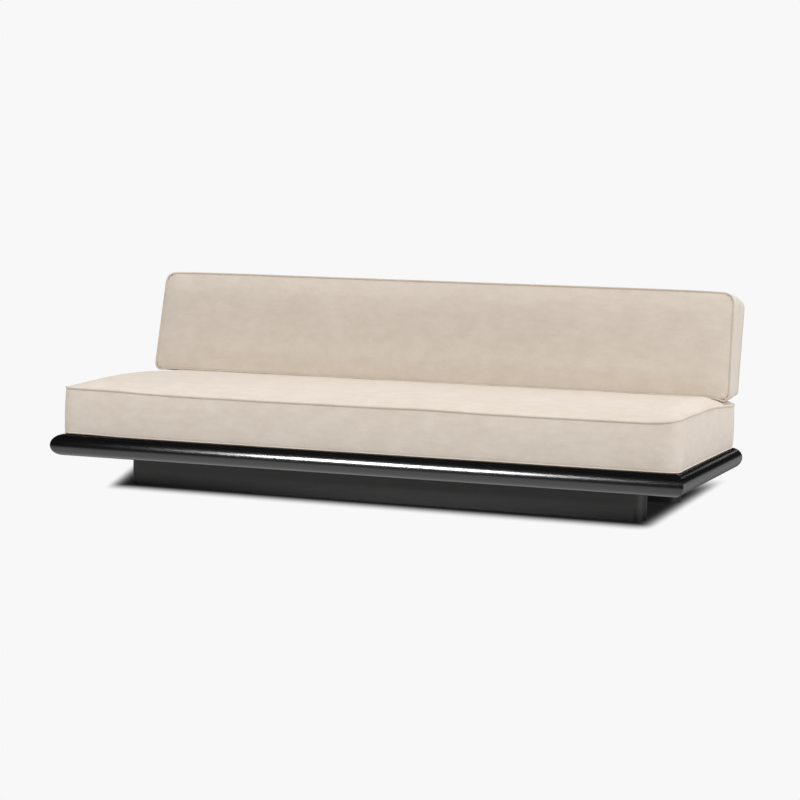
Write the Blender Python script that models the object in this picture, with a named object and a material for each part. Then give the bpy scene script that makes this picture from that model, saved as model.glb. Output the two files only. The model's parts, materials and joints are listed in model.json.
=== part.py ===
"""Three-seater platform sofa: a lacquered half-round platform on a plinth, with two loose box cushions.

Metres, +Z up, +X along the sofa, -Y towards the sitter. The origin is the middle of the footprint box,
on the floor.
"""
import math

import bmesh
import bpy
from mathutils import Matrix, Vector

# Fits
FIT = 0.0003              # gap between pieces that touch
CORE_FIT = 0.0005         # gap between a foam core and its cover
POCKET_CLEAR = 0.0008     # room round a bracket in its pocket

# Platform
PLATFORM_LENGTH = 2.400
PLATFORM_DEPTH = 1.000
RAIL_THICK = 0.080        # also the diameter of the half-round edge
RAIL_WIDTH = 0.140
NOSE_STEPS = 16
REBATE_WIDTH = 0.020
DECK_THICK = 0.018
DECK_JOINT = 0.0008
SPLINE_LENGTH = 0.070     # along the mitre
SPLINE_WIDTH = 0.030      # across the mitre
SPLINE_THICK = 0.006
CROSS_WIDTH = 0.050

# Plinth
GLIDE_HEIGHT = 0.004
GLIDE_RADIUS = 0.015
GLIDE_PIN_RADIUS = 0.0025
GLIDE_PIN_LENGTH = 0.012
PLINTH_HEIGHT = 0.1257
PLINTH_END_INSET = 0.185
PLINTH_FRONT_INSET = 0.285
PLINTH_REAR_INSET = 0.100
PLINTH_BOARD = 0.018
POST_LENGTH = 0.190       # along the front; its outer end is half round
POST_DEPTH = 0.080
POST_STEPS = 16
BRACE_SPACING = 0.760     # between the two inner braces
SCREW_RADIUS = 0.0035
SCREW_HEAD_RADIUS = 0.006
SCREW_LENGTH = 0.098
SCREW_EDGE = 0.012        # from the post's inner face

# Back brackets
BRACKET_COUNT = 3
BRACKET_SPACING = 0.750
BRACKET_WIDTH = 0.060
BRACKET_THICK = 0.005
BRACKET_LEG = 0.078       # length let into the flat of the rear rail, from the half-round edge inwards
BRACKET_BEND = 0.012
BRACKET_LEAN_BEND = 0.040
BRACKET_REACH = 0.230     # length inside the back cushion
BRACKET_TIP_RADIUS = 0.018
BRACKET_LEAD = 0.012      # straight run below the back cushion
BRACKET_INSET = 0.0125    # rear face of the cushion to the bracket
BRACKET_SCREW_RADIUS = 0.0025
BRACKET_SCREW_HEAD = 0.0048
BRACKET_SCREW_LENGTH = 0.030
BRACKET_SCREW_SPREAD = 0.034
BRACKET_SCREW_IN = 0.034  # from the start of the half-round edge inwards

# Cushions
PIPING_RADIUS = 0.004
PIPING_SIDES = 6
WALL_SIDE = 0.010         # cover and wadding on the boxing
WALL_FACE = 0.004         # cover on the large faces
ZIP_LENGTH = 1.600
ZIP_HEIGHT = 0.012
ZIP_THICK = 0.003
SLIDER_LENGTH = 0.009
SLIDER_HEIGHT = 0.008
SLIDER_THICK = 0.004
SLIDER_TAB_LENGTH = 0.018
SLIDER_TAB_THICK = 0.0015

# Seat cushion
SEAT_SIDE_MARGIN = 0.034  # boxing back from the platform's end
SEAT_FRONT_MARGIN = 0.041
SEAT_REAR_MARGIN = 0.028
SEAT_EDGE = 0.165         # platform to the upper piping
SEAT_CROWN = 0.043
SEAT_CORNER = 0.022
SEAT_BULGE = 0.003
SEAT_DRAW = 0.004         # sides drawn in between the corners
SEAT_EAR = 0.014          # end seams raised at the front corners
SEAT_ZIP_HEIGHT = 0.080

# Back cushion
BACK_SIDE_MARGIN = 0.032
BACK_HEIGHT = 0.396
BACK_THICK = 0.205
BACK_LEAN = math.radians(11.5)
BACK_REST = 0.032         # lower front piping above the seat's upper piping
BACK_CROWN = 0.018
BACK_CORNER = 0.036
BACK_BULGE = 0.003
BACK_DRAW = 0.004
BACK_ZIP_UP = 0.045
BRACKET_GAP = 0.006       # seat boxing to the upright of a bracket

# Levels and lines that several pieces share
PLINTH_LOW = GLIDE_HEIGHT + FIT
PLINTH_TOP = PLINTH_LOW + PLINTH_HEIGHT
RAIL_LOW = PLINTH_TOP + FIT
DECK_TOP = RAIL_LOW + RAIL_THICK
DECK_LOW = DECK_TOP - DECK_THICK
CROSS_TOP = DECK_LOW - FIT
NOSE_RADIUS = RAIL_THICK / 2
FRONT = -PLATFORM_DEPTH / 2
REAR = PLATFORM_DEPTH / 2
PLINTH_HALF = PLATFORM_LENGTH / 2 - PLINTH_END_INSET
PLINTH_FRONT = FRONT + PLINTH_FRONT_INSET
PLINTH_REAR = REAR - PLINTH_REAR_INSET
POST_X = PLINTH_HALF - POST_LENGTH / 2
BEARER_X = PLINTH_HALF - POST_LENGTH + CROSS_WIDTH / 2
SEAT_LOW = DECK_TOP + FIT
SEAT_FRONT = FRONT + SEAT_FRONT_MARGIN
SEAT_REAR = REAR - SEAT_REAR_MARGIN
SEAT_MID = (SEAT_FRONT + SEAT_REAR) / 2
NOTCH = PIPING_RADIUS + FIT
LEAN_SIN = math.sin(BACK_LEAN)
LEAN_COS = math.cos(BACK_LEAN)
UPRIGHT = SEAT_REAR + BRACKET_GAP + BRACKET_THICK / 2
BRACKET_DEPTH = BACK_THICK - BRACKET_INSET - BRACKET_THICK / 2
BACK_Y = UPRIGHT - BRACKET_DEPTH * LEAN_COS + BRACKET_LEAD * LEAN_SIN
BACK_Z = SEAT_LOW + SEAT_EDGE + BACK_REST + PIPING_RADIUS * LEAN_COS


def make_material(name, colour, roughness, metallic=0.0):
    material = bpy.data.materials.new(name)
    material.use_nodes = True
    shader = material.node_tree.nodes["Principled BSDF"]
    shader.inputs["Base Color"].default_value = (*colour, 1.0)
    shader.inputs["Roughness"].default_value = roughness
    shader.inputs["Metallic"].default_value = metallic
    material.diffuse_color = (*colour, 1.0)
    return material


def add_object(name, bm, material, parent, smooth_angle=None):
    """Turns a bmesh into a named object under its parent."""
    bmesh.ops.recalc_face_normals(bm, faces=bm.faces)
    mesh = bpy.data.meshes.new(name)
    bm.to_mesh(mesh)
    bm.free()
    if smooth_angle is not None:
        mesh.shade_smooth()
        mesh.set_sharp_from_angle(angle=math.radians(smooth_angle))
    if material is not None:
        mesh.materials.append(material)
    item = bpy.data.objects.new(name, mesh)
    bpy.context.scene.collection.objects.link(item)
    item.parent = parent
    return item


def add_empty(name, parent=None, location=(0, 0, 0), rotation=(0, 0, 0)):
    item = bpy.data.objects.new(name, None)
    bpy.context.scene.collection.objects.link(item)
    item.parent = parent
    item.location = location
    item.rotation_euler = rotation
    return item


def add_cutter(name, bm, parent):
    item = add_object(name, bm, None, parent)
    item.hide_render = True
    item.display_type = 'WIRE'
    return item


def cut(item, cutter):
    modifier = item.modifiers.new(cutter.name, 'BOOLEAN')
    modifier.operation = 'DIFFERENCE'
    modifier.solver = 'EXACT'
    modifier.object = cutter


def box_mesh(low, high):
    bm = bmesh.new()
    bmesh.ops.create_cube(bm, size=1.0)
    low, high = Vector(low), Vector(high)
    size = high - low
    bmesh.ops.scale(bm, vec=size, verts=bm.verts)
    bmesh.ops.translate(bm, vec=(low + high) / 2, verts=bm.verts)
    return bm


def prism_mesh(outline, low, high):
    """Extrudes a flat outline of X and Y points from one height to another."""
    bm = bmesh.new()
    face = bm.faces.new([bm.verts.new((x, y, low)) for x, y in outline])
    grown = bmesh.ops.extrude_face_region(bm, geom=[face])
    top = [v for v in grown["geom"] if isinstance(v, bmesh.types.BMVert)]
    bmesh.ops.translate(bm, vec=(0, 0, high - low), verts=top)
    return bm


def turned_mesh(profile, steps=12):
    """Spins a profile of radius and height about Z; its first and last points lie on the axis."""
    bm = bmesh.new()
    rings = []
    for radius, height in profile:
        if radius == 0:
            rings.append([bm.verts.new((0, 0, height))] * steps)
            continue
        turn = [2 * math.pi * i / steps for i in range(steps)]
        rings.append([bm.verts.new((radius * math.cos(a), radius * math.sin(a), height)) for a in turn])
    skin_rings(bm, rings)
    return bm


def skin_rings(bm, rings):
    """Bridges closed rings of equal count, leaving out corners that coincide."""
    for ring, after in zip(rings, rings[1:]):
        count = len(ring)
        for i in range(count):
            j = (i + 1) % count
            corners = []
            for vert in (ring[i], ring[j], after[j], after[i]):
                if vert not in corners:
                    corners.append(vert)
            if len(corners) > 2:
                bm.faces.new(corners)


def screw_profile(radius, head, length, grow=0.0):
    """Countersunk screw, head up at height zero; grow widens it all round for its bore."""
    sink = head - radius
    return [(0, grow), (head + grow, grow), (head + grow, -0.0008), (radius + grow, -0.0008 - sink),
            (radius + grow, -length + radius), (0, -length - grow)]


def rail_profile():
    """Section of a rail: distance in from the outer edge, and height above the underside."""
    nose = []
    for i in range(NOSE_STEPS + 1):
        a = math.pi * (i / NOSE_STEPS - 0.5)
        nose.append((NOSE_RADIUS - NOSE_RADIUS * math.cos(a), NOSE_RADIUS + NOSE_RADIUS * math.sin(a)))
    ledge = RAIL_THICK - DECK_THICK - FIT
    return [(RAIL_WIDTH, 0.0)] + nose + [(RAIL_WIDTH - REBATE_WIDTH, RAIL_THICK),
                                         (RAIL_WIDTH - REBATE_WIDTH, ledge), (RAIL_WIDTH, ledge)]


def add_rail(name, length, material, parent, location, turn):
    """A half-round rail along X with mitred ends; local +Y points in under the deck."""
    bm = bmesh.new()
    mitre_gap = FIT / math.sqrt(2)
    rings = []
    for end in (-1, 1):
        ring = [bm.verts.new((end * (length / 2 - n - mitre_gap), n, z)) for n, z in rail_profile()]
        rings.append(ring)
    skin_rings(bm, rings)
    bm.faces.new(rings[0])
    bm.faces.new(rings[1])
    rail = add_object(name, bm, material, parent, smooth_angle=30)
    rail.location = location
    rail.rotation_euler = (0, 0, turn)
    return rail


def add_splines(rails, material, parent):
    """Loose tongues across the four mitres, each in a slot of its two rails."""
    reach = NOSE_RADIUS + (RAIL_WIDTH - NOSE_RADIUS) / 2
    height = RAIL_LOW + (RAIL_THICK - DECK_THICK) / 2
    half = Vector((SPLINE_LENGTH, SPLINE_WIDTH, SPLINE_THICK)) / 2
    room = Vector((FIT, FIT, FIT))
    for side_x, x_name in ((-1, "left"), (1, "right")):
        for side_y, y_name in ((-1, "front"), (1, "rear")):
            name = "mitre_spline_%s_%s" % (y_name, x_name)
            place = Matrix.Translation((side_x * (PLATFORM_LENGTH / 2 - reach),
                                        side_y * (PLATFORM_DEPTH / 2 - reach), height))
            place = place @ Matrix.Rotation(math.pi / 4 * side_x * side_y, 4, 'Z')
            spline = add_object(name, box_mesh(-half, half), material, parent)
            spline.matrix_local = place
            slot = add_cutter(name + "_slot", box_mesh(-half - room, half + room), parent)
            slot.matrix_local = place
            cut(rails[y_name], slot)
            cut(rails[x_name], slot)


def add_platform(parent, lacquer, timber, ply):
    rails = {
        "front": add_rail("front_rail", PLATFORM_LENGTH, lacquer, parent, (0, FRONT, RAIL_LOW), 0),
        "rear": add_rail("rear_rail", PLATFORM_LENGTH, lacquer, parent, (0, REAR, RAIL_LOW), math.pi),
        "left": add_rail("left_rail", PLATFORM_DEPTH, lacquer, parent,
                         (-PLATFORM_LENGTH / 2, 0, RAIL_LOW), -math.pi / 2),
        "right": add_rail("right_rail", PLATFORM_DEPTH, lacquer, parent,
                          (PLATFORM_LENGTH / 2, 0, RAIL_LOW), math.pi / 2),
    }
    add_splines(rails, timber, parent)

    cross = {}
    reach_y = PLATFORM_DEPTH / 2 - RAIL_WIDTH - FIT
    lines = {"left": -BEARER_X, "mid_left": -BRACE_SPACING / 2, "mid_right": BRACE_SPACING / 2,
             "right": BEARER_X}
    for name, x in lines.items():
        half = CROSS_WIDTH / 2
        bm = box_mesh((x - half, -reach_y, RAIL_LOW), (x + half, reach_y, CROSS_TOP))
        cross[name] = add_object("cross_rail_" + name, bm, timber, parent)

    edge_x = PLATFORM_LENGTH / 2 - RAIL_WIDTH + REBATE_WIDTH - FIT
    edge_y = PLATFORM_DEPTH / 2 - RAIL_WIDTH + REBATE_WIDTH - FIT
    joint = BRACE_SPACING / 2
    spans = {"left": (-edge_x, -joint - DECK_JOINT / 2), "middle": (-joint + DECK_JOINT / 2, joint - DECK_JOINT / 2),
             "right": (joint + DECK_JOINT / 2, edge_x)}
    for name, (x0, x1) in spans.items():
        bm = box_mesh((x0, -edge_y, DECK_LOW), (x1, edge_y, DECK_TOP))
        add_object("deck_panel_" + name, bm, ply, parent)
    return rails, cross


def post_outline(sign_x):
    """Post whose outer end is a half round."""
    radius = POST_DEPTH / 2
    points = [(-POST_LENGTH / 2, radius), (-POST_LENGTH / 2, -radius)]
    for i in range(POST_STEPS + 1):
        a = math.pi * (i / POST_STEPS - 0.5)
        points.append((POST_LENGTH / 2 - radius + radius * math.cos(a), radius * math.sin(a)))
    return [(sign_x * x, y) for x, y in points]


def add_plinth(parent, lacquer, timber, nylon, steel, cross):
    posts = {}
    post_front = PLINTH_FRONT + POST_DEPTH / 2
    post_rear = PLINTH_REAR - POST_DEPTH / 2
    for sign_x, x_name in ((-1, "left"), (1, "right")):
        for y_name, y in (("front", post_front), ("rear", post_rear)):
            bm = prism_mesh(post_outline(sign_x), PLINTH_LOW, PLINTH_TOP)
            post = add_object("plinth_post_%s_%s" % (y_name, x_name), bm, lacquer, parent, smooth_angle=30)
            post.location = (sign_x * POST_X, y, 0)
            posts[y_name, x_name] = post

    end_x = PLINTH_HALF - POST_LENGTH - FIT
    end_front = PLINTH_FRONT + POST_DEPTH + FIT
    end_rear = PLINTH_REAR - POST_DEPTH - FIT
    inner, outer = BEARER_X - PLINTH_BOARD / 2, BEARER_X + PLINTH_BOARD / 2
    boards = {
        "plinth_front": ((-end_x, PLINTH_FRONT), (end_x, PLINTH_FRONT + PLINTH_BOARD), lacquer),
        "plinth_rear": ((-end_x, PLINTH_REAR - PLINTH_BOARD), (end_x, PLINTH_REAR), lacquer),
        "plinth_left": ((-outer, end_front), (-inner, end_rear), lacquer),
        "plinth_right": ((inner, end_front), (outer, end_rear), lacquer),
    }
    braces = {}
    for name, (low, high, material) in boards.items():
        add_object(name, box_mesh((*low, PLINTH_LOW), (*high, PLINTH_TOP)), material, parent)
    for name, x in (("left", -BRACE_SPACING / 2), ("right", BRACE_SPACING / 2)):
        low = (x - PLINTH_BOARD / 2, PLINTH_FRONT + PLINTH_BOARD + FIT, PLINTH_LOW)
        high = (x + PLINTH_BOARD / 2, PLINTH_REAR - PLINTH_BOARD - FIT, PLINTH_TOP)
        braces[name] = add_object("plinth_brace_" + name, box_mesh(low, high), timber, parent)

    pin = GLIDE_HEIGHT + GLIDE_PIN_LENGTH
    glide = [(0, 0), (GLIDE_RADIUS - 0.002, 0), (GLIDE_RADIUS, 0.0015), (GLIDE_RADIUS, GLIDE_HEIGHT),
             (GLIDE_PIN_RADIUS, GLIDE_HEIGHT), (GLIDE_PIN_RADIUS, pin - GLIDE_PIN_RADIUS), (0, pin)]
    bore = [(0, -FIT), (GLIDE_PIN_RADIUS + FIT, -FIT), (GLIDE_PIN_RADIUS + FIT, pin - GLIDE_PIN_RADIUS),
            (0, pin + FIT)]
    seats = [("%s_%s" % key, post, post.location) for key, post in posts.items()]
    for name, brace in braces.items():
        x = -BRACE_SPACING / 2 if name == "left" else BRACE_SPACING / 2
        seats.append(("brace_" + name, brace, Vector((x, (PLINTH_FRONT + PLINTH_REAR) / 2, 0))))
    for name, carrier, spot in seats:
        item = add_object("glide_" + name, turned_mesh(glide, 16), nylon, parent, smooth_angle=30)
        item.location = (spot.x, spot.y, 0)
        hole = add_cutter("glide_%s_bore" % name, turned_mesh(bore, 16), parent)
        hole.location = item.location
        cut(carrier, hole)

    profile = screw_profile(SCREW_RADIUS, SCREW_HEAD_RADIUS, SCREW_LENGTH)
    wider = screw_profile(SCREW_RADIUS, SCREW_HEAD_RADIUS, SCREW_LENGTH, FIT)
    screw_y = {"front": PLINTH_FRONT + POST_DEPTH - SCREW_EDGE,
               "rear": PLINTH_REAR - POST_DEPTH + SCREW_EDGE}
    for (y_name, x_name), post in posts.items():
        spot = (math.copysign(BEARER_X, post.location.x), screw_y[y_name], CROSS_TOP - FIT)
        name = "plinth_screw_%s_%s" % (y_name, x_name)
        item = add_object(name, turned_mesh(profile, 10), steel, parent, smooth_angle=30)
        item.location = spot
        hole = add_cutter(name + "_bore", turned_mesh(wider, 10), parent)
        hole.location = spot
        cut(cross[x_name], hole)
        cut(post, hole)


def filleted(points, radii, steps):
    """Follows straight runs between points, with an arc of the given radius at each inner point."""
    path = [points[0]]
    for before, corner, after, radius, count in zip(points, points[1:], points[2:], radii, steps):
        into = (corner - before).normalized()
        out = (after - corner).normalized()
        angle = into.angle_signed(out)
        length = radius * math.tan(abs(angle) / 2)
        start = corner - into * length
        side = 1 if angle > 0 else -1
        normal = Vector((into.y, -into.x)) * side
        centre = start + normal * radius
        for i in range(count + 1):
            spin = Matrix.Rotation(-angle * i / count, 2)
            path.append(centre + spin @ (start - centre))
    path.append(points[-1])
    return path


def bracket_mesh():
    """Bent flat bar: a leg on the rear rail, an upright behind the seat, and a leaning blade."""
    low = DECK_TOP - FIT - BRACKET_THICK / 2
    toe = Vector((REAR - NOSE_RADIUS - BRACKET_LEG, low))
    heel = Vector((UPRIGHT, low))
    knee = Vector((BACK_Y + BRACKET_DEPTH * LEAN_COS - BRACKET_LEAD * LEAN_SIN,
                   BACK_Z - BRACKET_DEPTH * LEAN_SIN - BRACKET_LEAD * LEAN_COS))
    tip = knee + Vector((LEAN_SIN, LEAN_COS)) * (BRACKET_LEAD + BRACKET_REACH)
    path = filleted([toe, heel, knee, tip], [BRACKET_BEND, BRACKET_LEAN_BEND], [6, 3])

    stations = [(p, BRACKET_WIDTH / 2) for p in path[:-1]]
    back = (path[-1] - path[-2]).normalized()
    for i in range(5):
        a = math.pi / 2 * i / 4
        point = tip + back * (math.sin(a) - 1) * BRACKET_TIP_RADIUS
        stations.append((point, BRACKET_WIDTH / 2 - BRACKET_TIP_RADIUS * (1 - math.cos(a))))

    bm = bmesh.new()
    rings = []
    for i, (point, half) in enumerate(stations):
        ahead = stations[min(i + 1, len(stations) - 1)][0]
        behind = stations[max(i - 1, 0)][0]
        into = (point - behind).normalized() if i else (ahead - point).normalized()
        out = (ahead - point).normalized() if i + 1 < len(stations) else into
        along = (into + out).normalized()
        stretch = 1 / max(0.5, along.dot(into))
        off = Vector((-along.y, along.x)) * BRACKET_THICK / 2 * stretch
        ring = []
        for x, side in ((-half, 1), (half, 1), (half, -1), (-half, -1)):
            q = point + off * side
            ring.append(bm.verts.new((x, q.x, q.y)))
        rings.append(ring)
    skin_rings(bm, rings)
    bm.faces.new(rings[0])
    bm.faces.new(rings[-1])
    return bm


def bracket_lines():
    return [(i - (BRACKET_COUNT - 1) / 2) * BRACKET_SPACING for i in range(BRACKET_COUNT)]


def add_brackets(parent, coated, steel, rear_rail):
    profile = screw_profile(BRACKET_SCREW_RADIUS, BRACKET_SCREW_HEAD, BRACKET_SCREW_LENGTH)
    wider = screw_profile(BRACKET_SCREW_RADIUS, BRACKET_SCREW_HEAD, BRACKET_SCREW_LENGTH, FIT)
    screw_y = REAR - NOSE_RADIUS - BRACKET_SCREW_IN
    for number, x in enumerate(bracket_lines(), 1):
        bracket = add_object("back_bracket_%d" % number, bracket_mesh(), coated, parent, smooth_angle=30)
        bracket.location = (x, 0, 0)
        half = BRACKET_WIDTH / 2 + FIT
        low = (-half, REAR - NOSE_RADIUS - BRACKET_LEG - FIT, DECK_TOP - BRACKET_THICK - 2 * FIT)
        high = (half, REAR + NOSE_RADIUS, DECK_TOP + RAIL_THICK)
        groove = add_cutter("back_bracket_%d_groove" % number, box_mesh(low, high), parent)
        groove.location = (x, 0, 0)
        cut(rear_rail, groove)
        for side, letter in ((-1, "a"), (1, "b")):
            spot = (x + side * BRACKET_SCREW_SPREAD / 2, screw_y, DECK_TOP - 2 * FIT)
            name = "bracket_screw_%d%s" % (number, letter)
            item = add_object(name, turned_mesh(profile, 10), steel, parent, smooth_angle=30)
            item.location = spot
            hole = add_cutter(name + "_bore", turned_mesh(wider, 10), parent)
            hole.location = spot
            cut(bracket, hole)
            cut(rear_rail, hole)


def grid_lines(half, radius, count, line=None):
    """Lines across a cushion: two in each rounded corner, the rest closer together near the edges."""
    flat = half - radius
    corner = [flat, flat + radius * math.tan(math.pi / 8), half]
    middle = [flat * math.sin(math.pi / 2 * (2 * i / count - 1)) for i in range(1, count)]
    if line is not None:
        near = min(range(len(middle)), key=lambda i: abs(middle[i] - line))
        middle[near] = line
    return [-c for c in reversed(corner)] + middle + corner


class Pad:
    """A box cushion in its own frame: X along it, Y across it, Z through it, from zero to edge.

    edge gives the height of the upper seam, and crown the rise of the upper face above it. limit, if
    given, is the height that something resting on the cushion presses it down to.
    """

    def __init__(self, length, width, corner, lines, crown, crown_power, bulge, draw, edge, limit=None,
                 press_line=None):
        self.half = (length / 2, width / 2)
        self.corner = corner
        self.lines = lines
        self.crown = crown
        self.crown_power = crown_power
        self.bulge = bulge
        self.draw = draw
        self.edge = edge
        self.limit = limit
        self.press_line = press_line

    def share(self, x, y):
        return min(1.0, abs(x) / self.half[0]), min(1.0, abs(y) / self.half[1])

    def seam(self, x, y):
        """Height of the upper seam, or of its continuation inside the outline."""
        height = self.edge(*(v / h for v, h in zip((x, y), self.half)))
        if self.limit is not None:
            height = min(height, self.limit(y) - NOTCH - FIT)
        return height

    def top(self, x, y):
        u, v = self.share(x, y)
        rise = self.crown * (1 - u ** self.crown_power[0]) * (1 - v ** self.crown_power[1])
        height = self.seam(x, y) + rise
        if self.limit is not None:
            height = min(height, self.limit(y))
        return height

    def outline(self, x, y, inset=0.0):
        """Plan point on the rounded, drawn-in outline, with the outward direction there."""
        half_x, half_y = (h - inset for h in self.half)
        radius = max(self.corner - inset, 0.008)
        core_x = max(-(half_x - radius), min(half_x - radius, x))
        core_y = max(-(half_y - radius), min(half_y - radius, y))
        away = Vector((x - core_x, y - core_y))
        reach = max(abs(away.x), abs(away.y))
        out = away.normalized() if away.length > 0 else Vector((0, 0))
        point = Vector((core_x, core_y)) + out * reach
        u, v = self.share(*point)
        point.x -= math.copysign(self.draw * (1 - v ** 4) * u * u, point.x)
        point.y -= math.copysign(self.draw * (1 - u ** 4) * v * v, point.y)
        return point, out

    def grid(self, inset):
        half_x, half_y = (h - inset for h in self.half)
        radius = max(self.corner - inset, 0.008)
        xs = grid_lines(half_x, radius, self.lines[0])
        ys = grid_lines(half_y, radius, self.lines[1], self.press_line)
        return xs, ys

    def rim(self, inset):
        """Plan points and outward directions round the outline, in order."""
        xs, ys = self.grid(inset)
        around = [(x, ys[0]) for x in xs[:-1]] + [(xs[-1], y) for y in ys[:-1]]
        around += [(x, ys[-1]) for x in reversed(xs[1:])] + [(xs[0], y) for y in reversed(ys[1:])]
        return [self.outline(x, y, inset) for x, y in around]

    def fill_top(self, bm, rim_verts, inset, lower):
        """Skins the upper face as a grid inside a ring of rim vertices."""
        xs, ys = self.grid(inset)
        last_x, last_y = len(xs) - 1, len(ys) - 1
        verts = {}
        around = [(i, 0) for i in range(last_x)] + [(last_x, j) for j in range(last_y)]
        around += [(i, last_y) for i in range(last_x, 0, -1)] + [(0, j) for j in range(last_y, 0, -1)]
        for key, vert in zip(around, rim_verts):
            verts[key] = vert
        for i in range(1, last_x):
            for j in range(1, last_y):
                point, _ = self.outline(xs[i], ys[j], inset)
                verts[i, j] = bm.verts.new((point.x, point.y, self.top(point.x, point.y) - lower))
        for i in range(last_x):
            for j in range(last_y):
                a, b, c, d = (verts[k] for k in ((i, j), (i + 1, j), (i + 1, j + 1), (i, j + 1)))
                if (2 * i < last_x) == (2 * j < last_y):
                    triangles = (a, b, c), (a, c, d)
                else:
                    triangles = (a, b, d), (b, c, d)
                for corners in triangles:
                    bm.faces.new(corners)

    def ring(self, bm, rim, outset, share, rise):
        verts = []
        for point, out in rim:
            place = point + out * outset
            verts.append(bm.verts.new((place.x, place.y, self.seam(*point) * share + rise)))
        return verts

    def outer_mesh(self):
        """Solid of the sewn cushion, with a groove for a piping cord along both edges."""
        bm = bmesh.new()
        rim = self.rim(0.0)
        steps = [math.pi * (1 + i / 6) for i in range(4)]
        profile = [(NOTCH * math.cos(a), 1.0, NOTCH * math.sin(a)) for a in steps]
        for share in (0.75, 0.5, 0.25):
            profile.append((self.bulge * (1 - (2 * share - 1) ** 2), share, 0.0))
        profile += [(NOTCH * math.cos(a), 0.0, PIPING_RADIUS - NOTCH * math.sin(a)) for a in reversed(steps)]
        profile.append((-NOTCH, 0.0, 0.0))
        rings = [self.ring(bm, rim, *spec) for spec in profile]
        skin_rings(bm, rings)
        self.fill_top(bm, rings[0], 0.0, 0.0)
        bm.faces.new(rings[-1])
        return bm

    def inner_mesh(self, side, face):
        """Solid that lies inside the cover: set in by side at the boxing and by face at the large faces."""
        bm = bmesh.new()
        rim = self.rim(side)
        upper = self.ring(bm, rim, 0.0, 1.0, -face)
        lower = self.ring(bm, rim, 0.0, 0.0, face)
        for vert, (point, _) in zip(upper, rim):
            vert.co.z = self.top(point.x, point.y) - face
        skin_rings(bm, [upper, lower])
        self.fill_top(bm, upper, side, face)
        bm.faces.new(lower)
        return bm

    def piping_mesh(self, share, rise):
        """Cord along an edge: share 1 for the upper edge and 0 for the lower one."""
        bm = bmesh.new()
        rim = self.rim(0.0)
        rings = []
        for i in range(PIPING_SIDES):
            a = 2 * math.pi * (i + 0.5) / PIPING_SIDES
            rings.append(self.ring(bm, rim, PIPING_RADIUS * math.cos(a), share, rise + PIPING_RADIUS * math.sin(a)))
        skin_rings(bm, rings + rings[:1])
        return bm


def slider_mesh():
    """Zip slider with its pull tab: local -Y is away from the zip, and the tab hangs down."""
    half = SLIDER_HEIGHT / 2
    inner = -SLIDER_THICK + SLIDER_TAB_THICK
    outline = [(0, half), (0, -half), (inner, -half), (inner, -half - SLIDER_TAB_LENGTH),
               (-SLIDER_THICK, -half - SLIDER_TAB_LENGTH), (-SLIDER_THICK, half - 0.001),
               (-SLIDER_THICK + 0.001, half)]
    bm = prism_mesh(outline, -SLIDER_LENGTH / 2, SLIDER_LENGTH / 2)
    to_upright = Matrix(((0, 0, 1), (1, 0, 0), (0, 1, 0)))
    bmesh.ops.transform(bm, matrix=to_upright.to_4x4(), verts=bm.verts)
    return bm


def back_underside(y):
    """Height of the plane that the back cushion's lower piping rests on, at a depth in the sofa's frame."""
    level = -(PIPING_RADIUS + 2 * FIT)
    return BACK_Z + (level - (y - BACK_Y) * LEAN_SIN) / LEAN_COS


def seat_edge(u, v):
    """Upper seam of the seat: its ends rise at the front corners and fall to the rear."""
    rear = (v + 1) / 2
    return SEAT_EDGE + SEAT_EAR * abs(u) ** 8 * (1 - rear * rear)


def add_seat(parent, fabric, foam, tape, metal):
    place = add_empty("seat_cushion", parent, (0, SEAT_MID, SEAT_LOW))
    length = PLATFORM_LENGTH - 2 * SEAT_SIDE_MARGIN
    depth = SEAT_REAR - SEAT_FRONT
    pad = Pad(length, depth, SEAT_CORNER, (12, 8), SEAT_CROWN, (10, 4), SEAT_BULGE, SEAT_DRAW, seat_edge,
              limit=lambda y: back_underside(y + SEAT_MID) - SEAT_LOW, press_line=BACK_Y - SEAT_MID)
    cover = add_object("seat_cover", pad.outer_mesh(), fabric, place, smooth_angle=40)
    cavity = add_cutter("seat_cavity", pad.inner_mesh(WALL_SIDE, WALL_FACE), place)
    cut(cover, cavity)
    core = pad.inner_mesh(WALL_SIDE + CORE_FIT, WALL_FACE + CORE_FIT)
    add_object("seat_core", core, foam, place, smooth_angle=40)
    add_object("seat_piping_top", pad.piping_mesh(1.0, 0.0), fabric, place, smooth_angle=70)
    add_object("seat_piping_bottom", pad.piping_mesh(0.0, PIPING_RADIUS), fabric, place, smooth_angle=70)

    face = depth / 2 - SEAT_DRAW + SEAT_BULGE - FIT
    half = ZIP_HEIGHT / 2
    low = (-ZIP_LENGTH / 2 - FIT, depth / 2 - SEAT_DRAW - WALL_SIDE - CORE_FIT, SEAT_ZIP_HEIGHT - half - FIT)
    high = (ZIP_LENGTH / 2 + FIT, depth / 2 + BRACKET_GAP, SEAT_ZIP_HEIGHT + half + FIT)
    cut(cover, add_cutter("seat_zip_slot", box_mesh(low, high), place))
    low = (-ZIP_LENGTH / 2, face - ZIP_THICK, SEAT_ZIP_HEIGHT - half)
    high = (ZIP_LENGTH / 2, face, SEAT_ZIP_HEIGHT + half)
    add_object("seat_zip", box_mesh(low, high), tape, place)
    slider = add_object("seat_zip_slider", slider_mesh(), metal, place)
    slider.location = ((ZIP_LENGTH - SLIDER_LENGTH) / 2, face + FIT, SEAT_ZIP_HEIGHT)
    slider.rotation_euler = (0, 0, math.pi)


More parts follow.
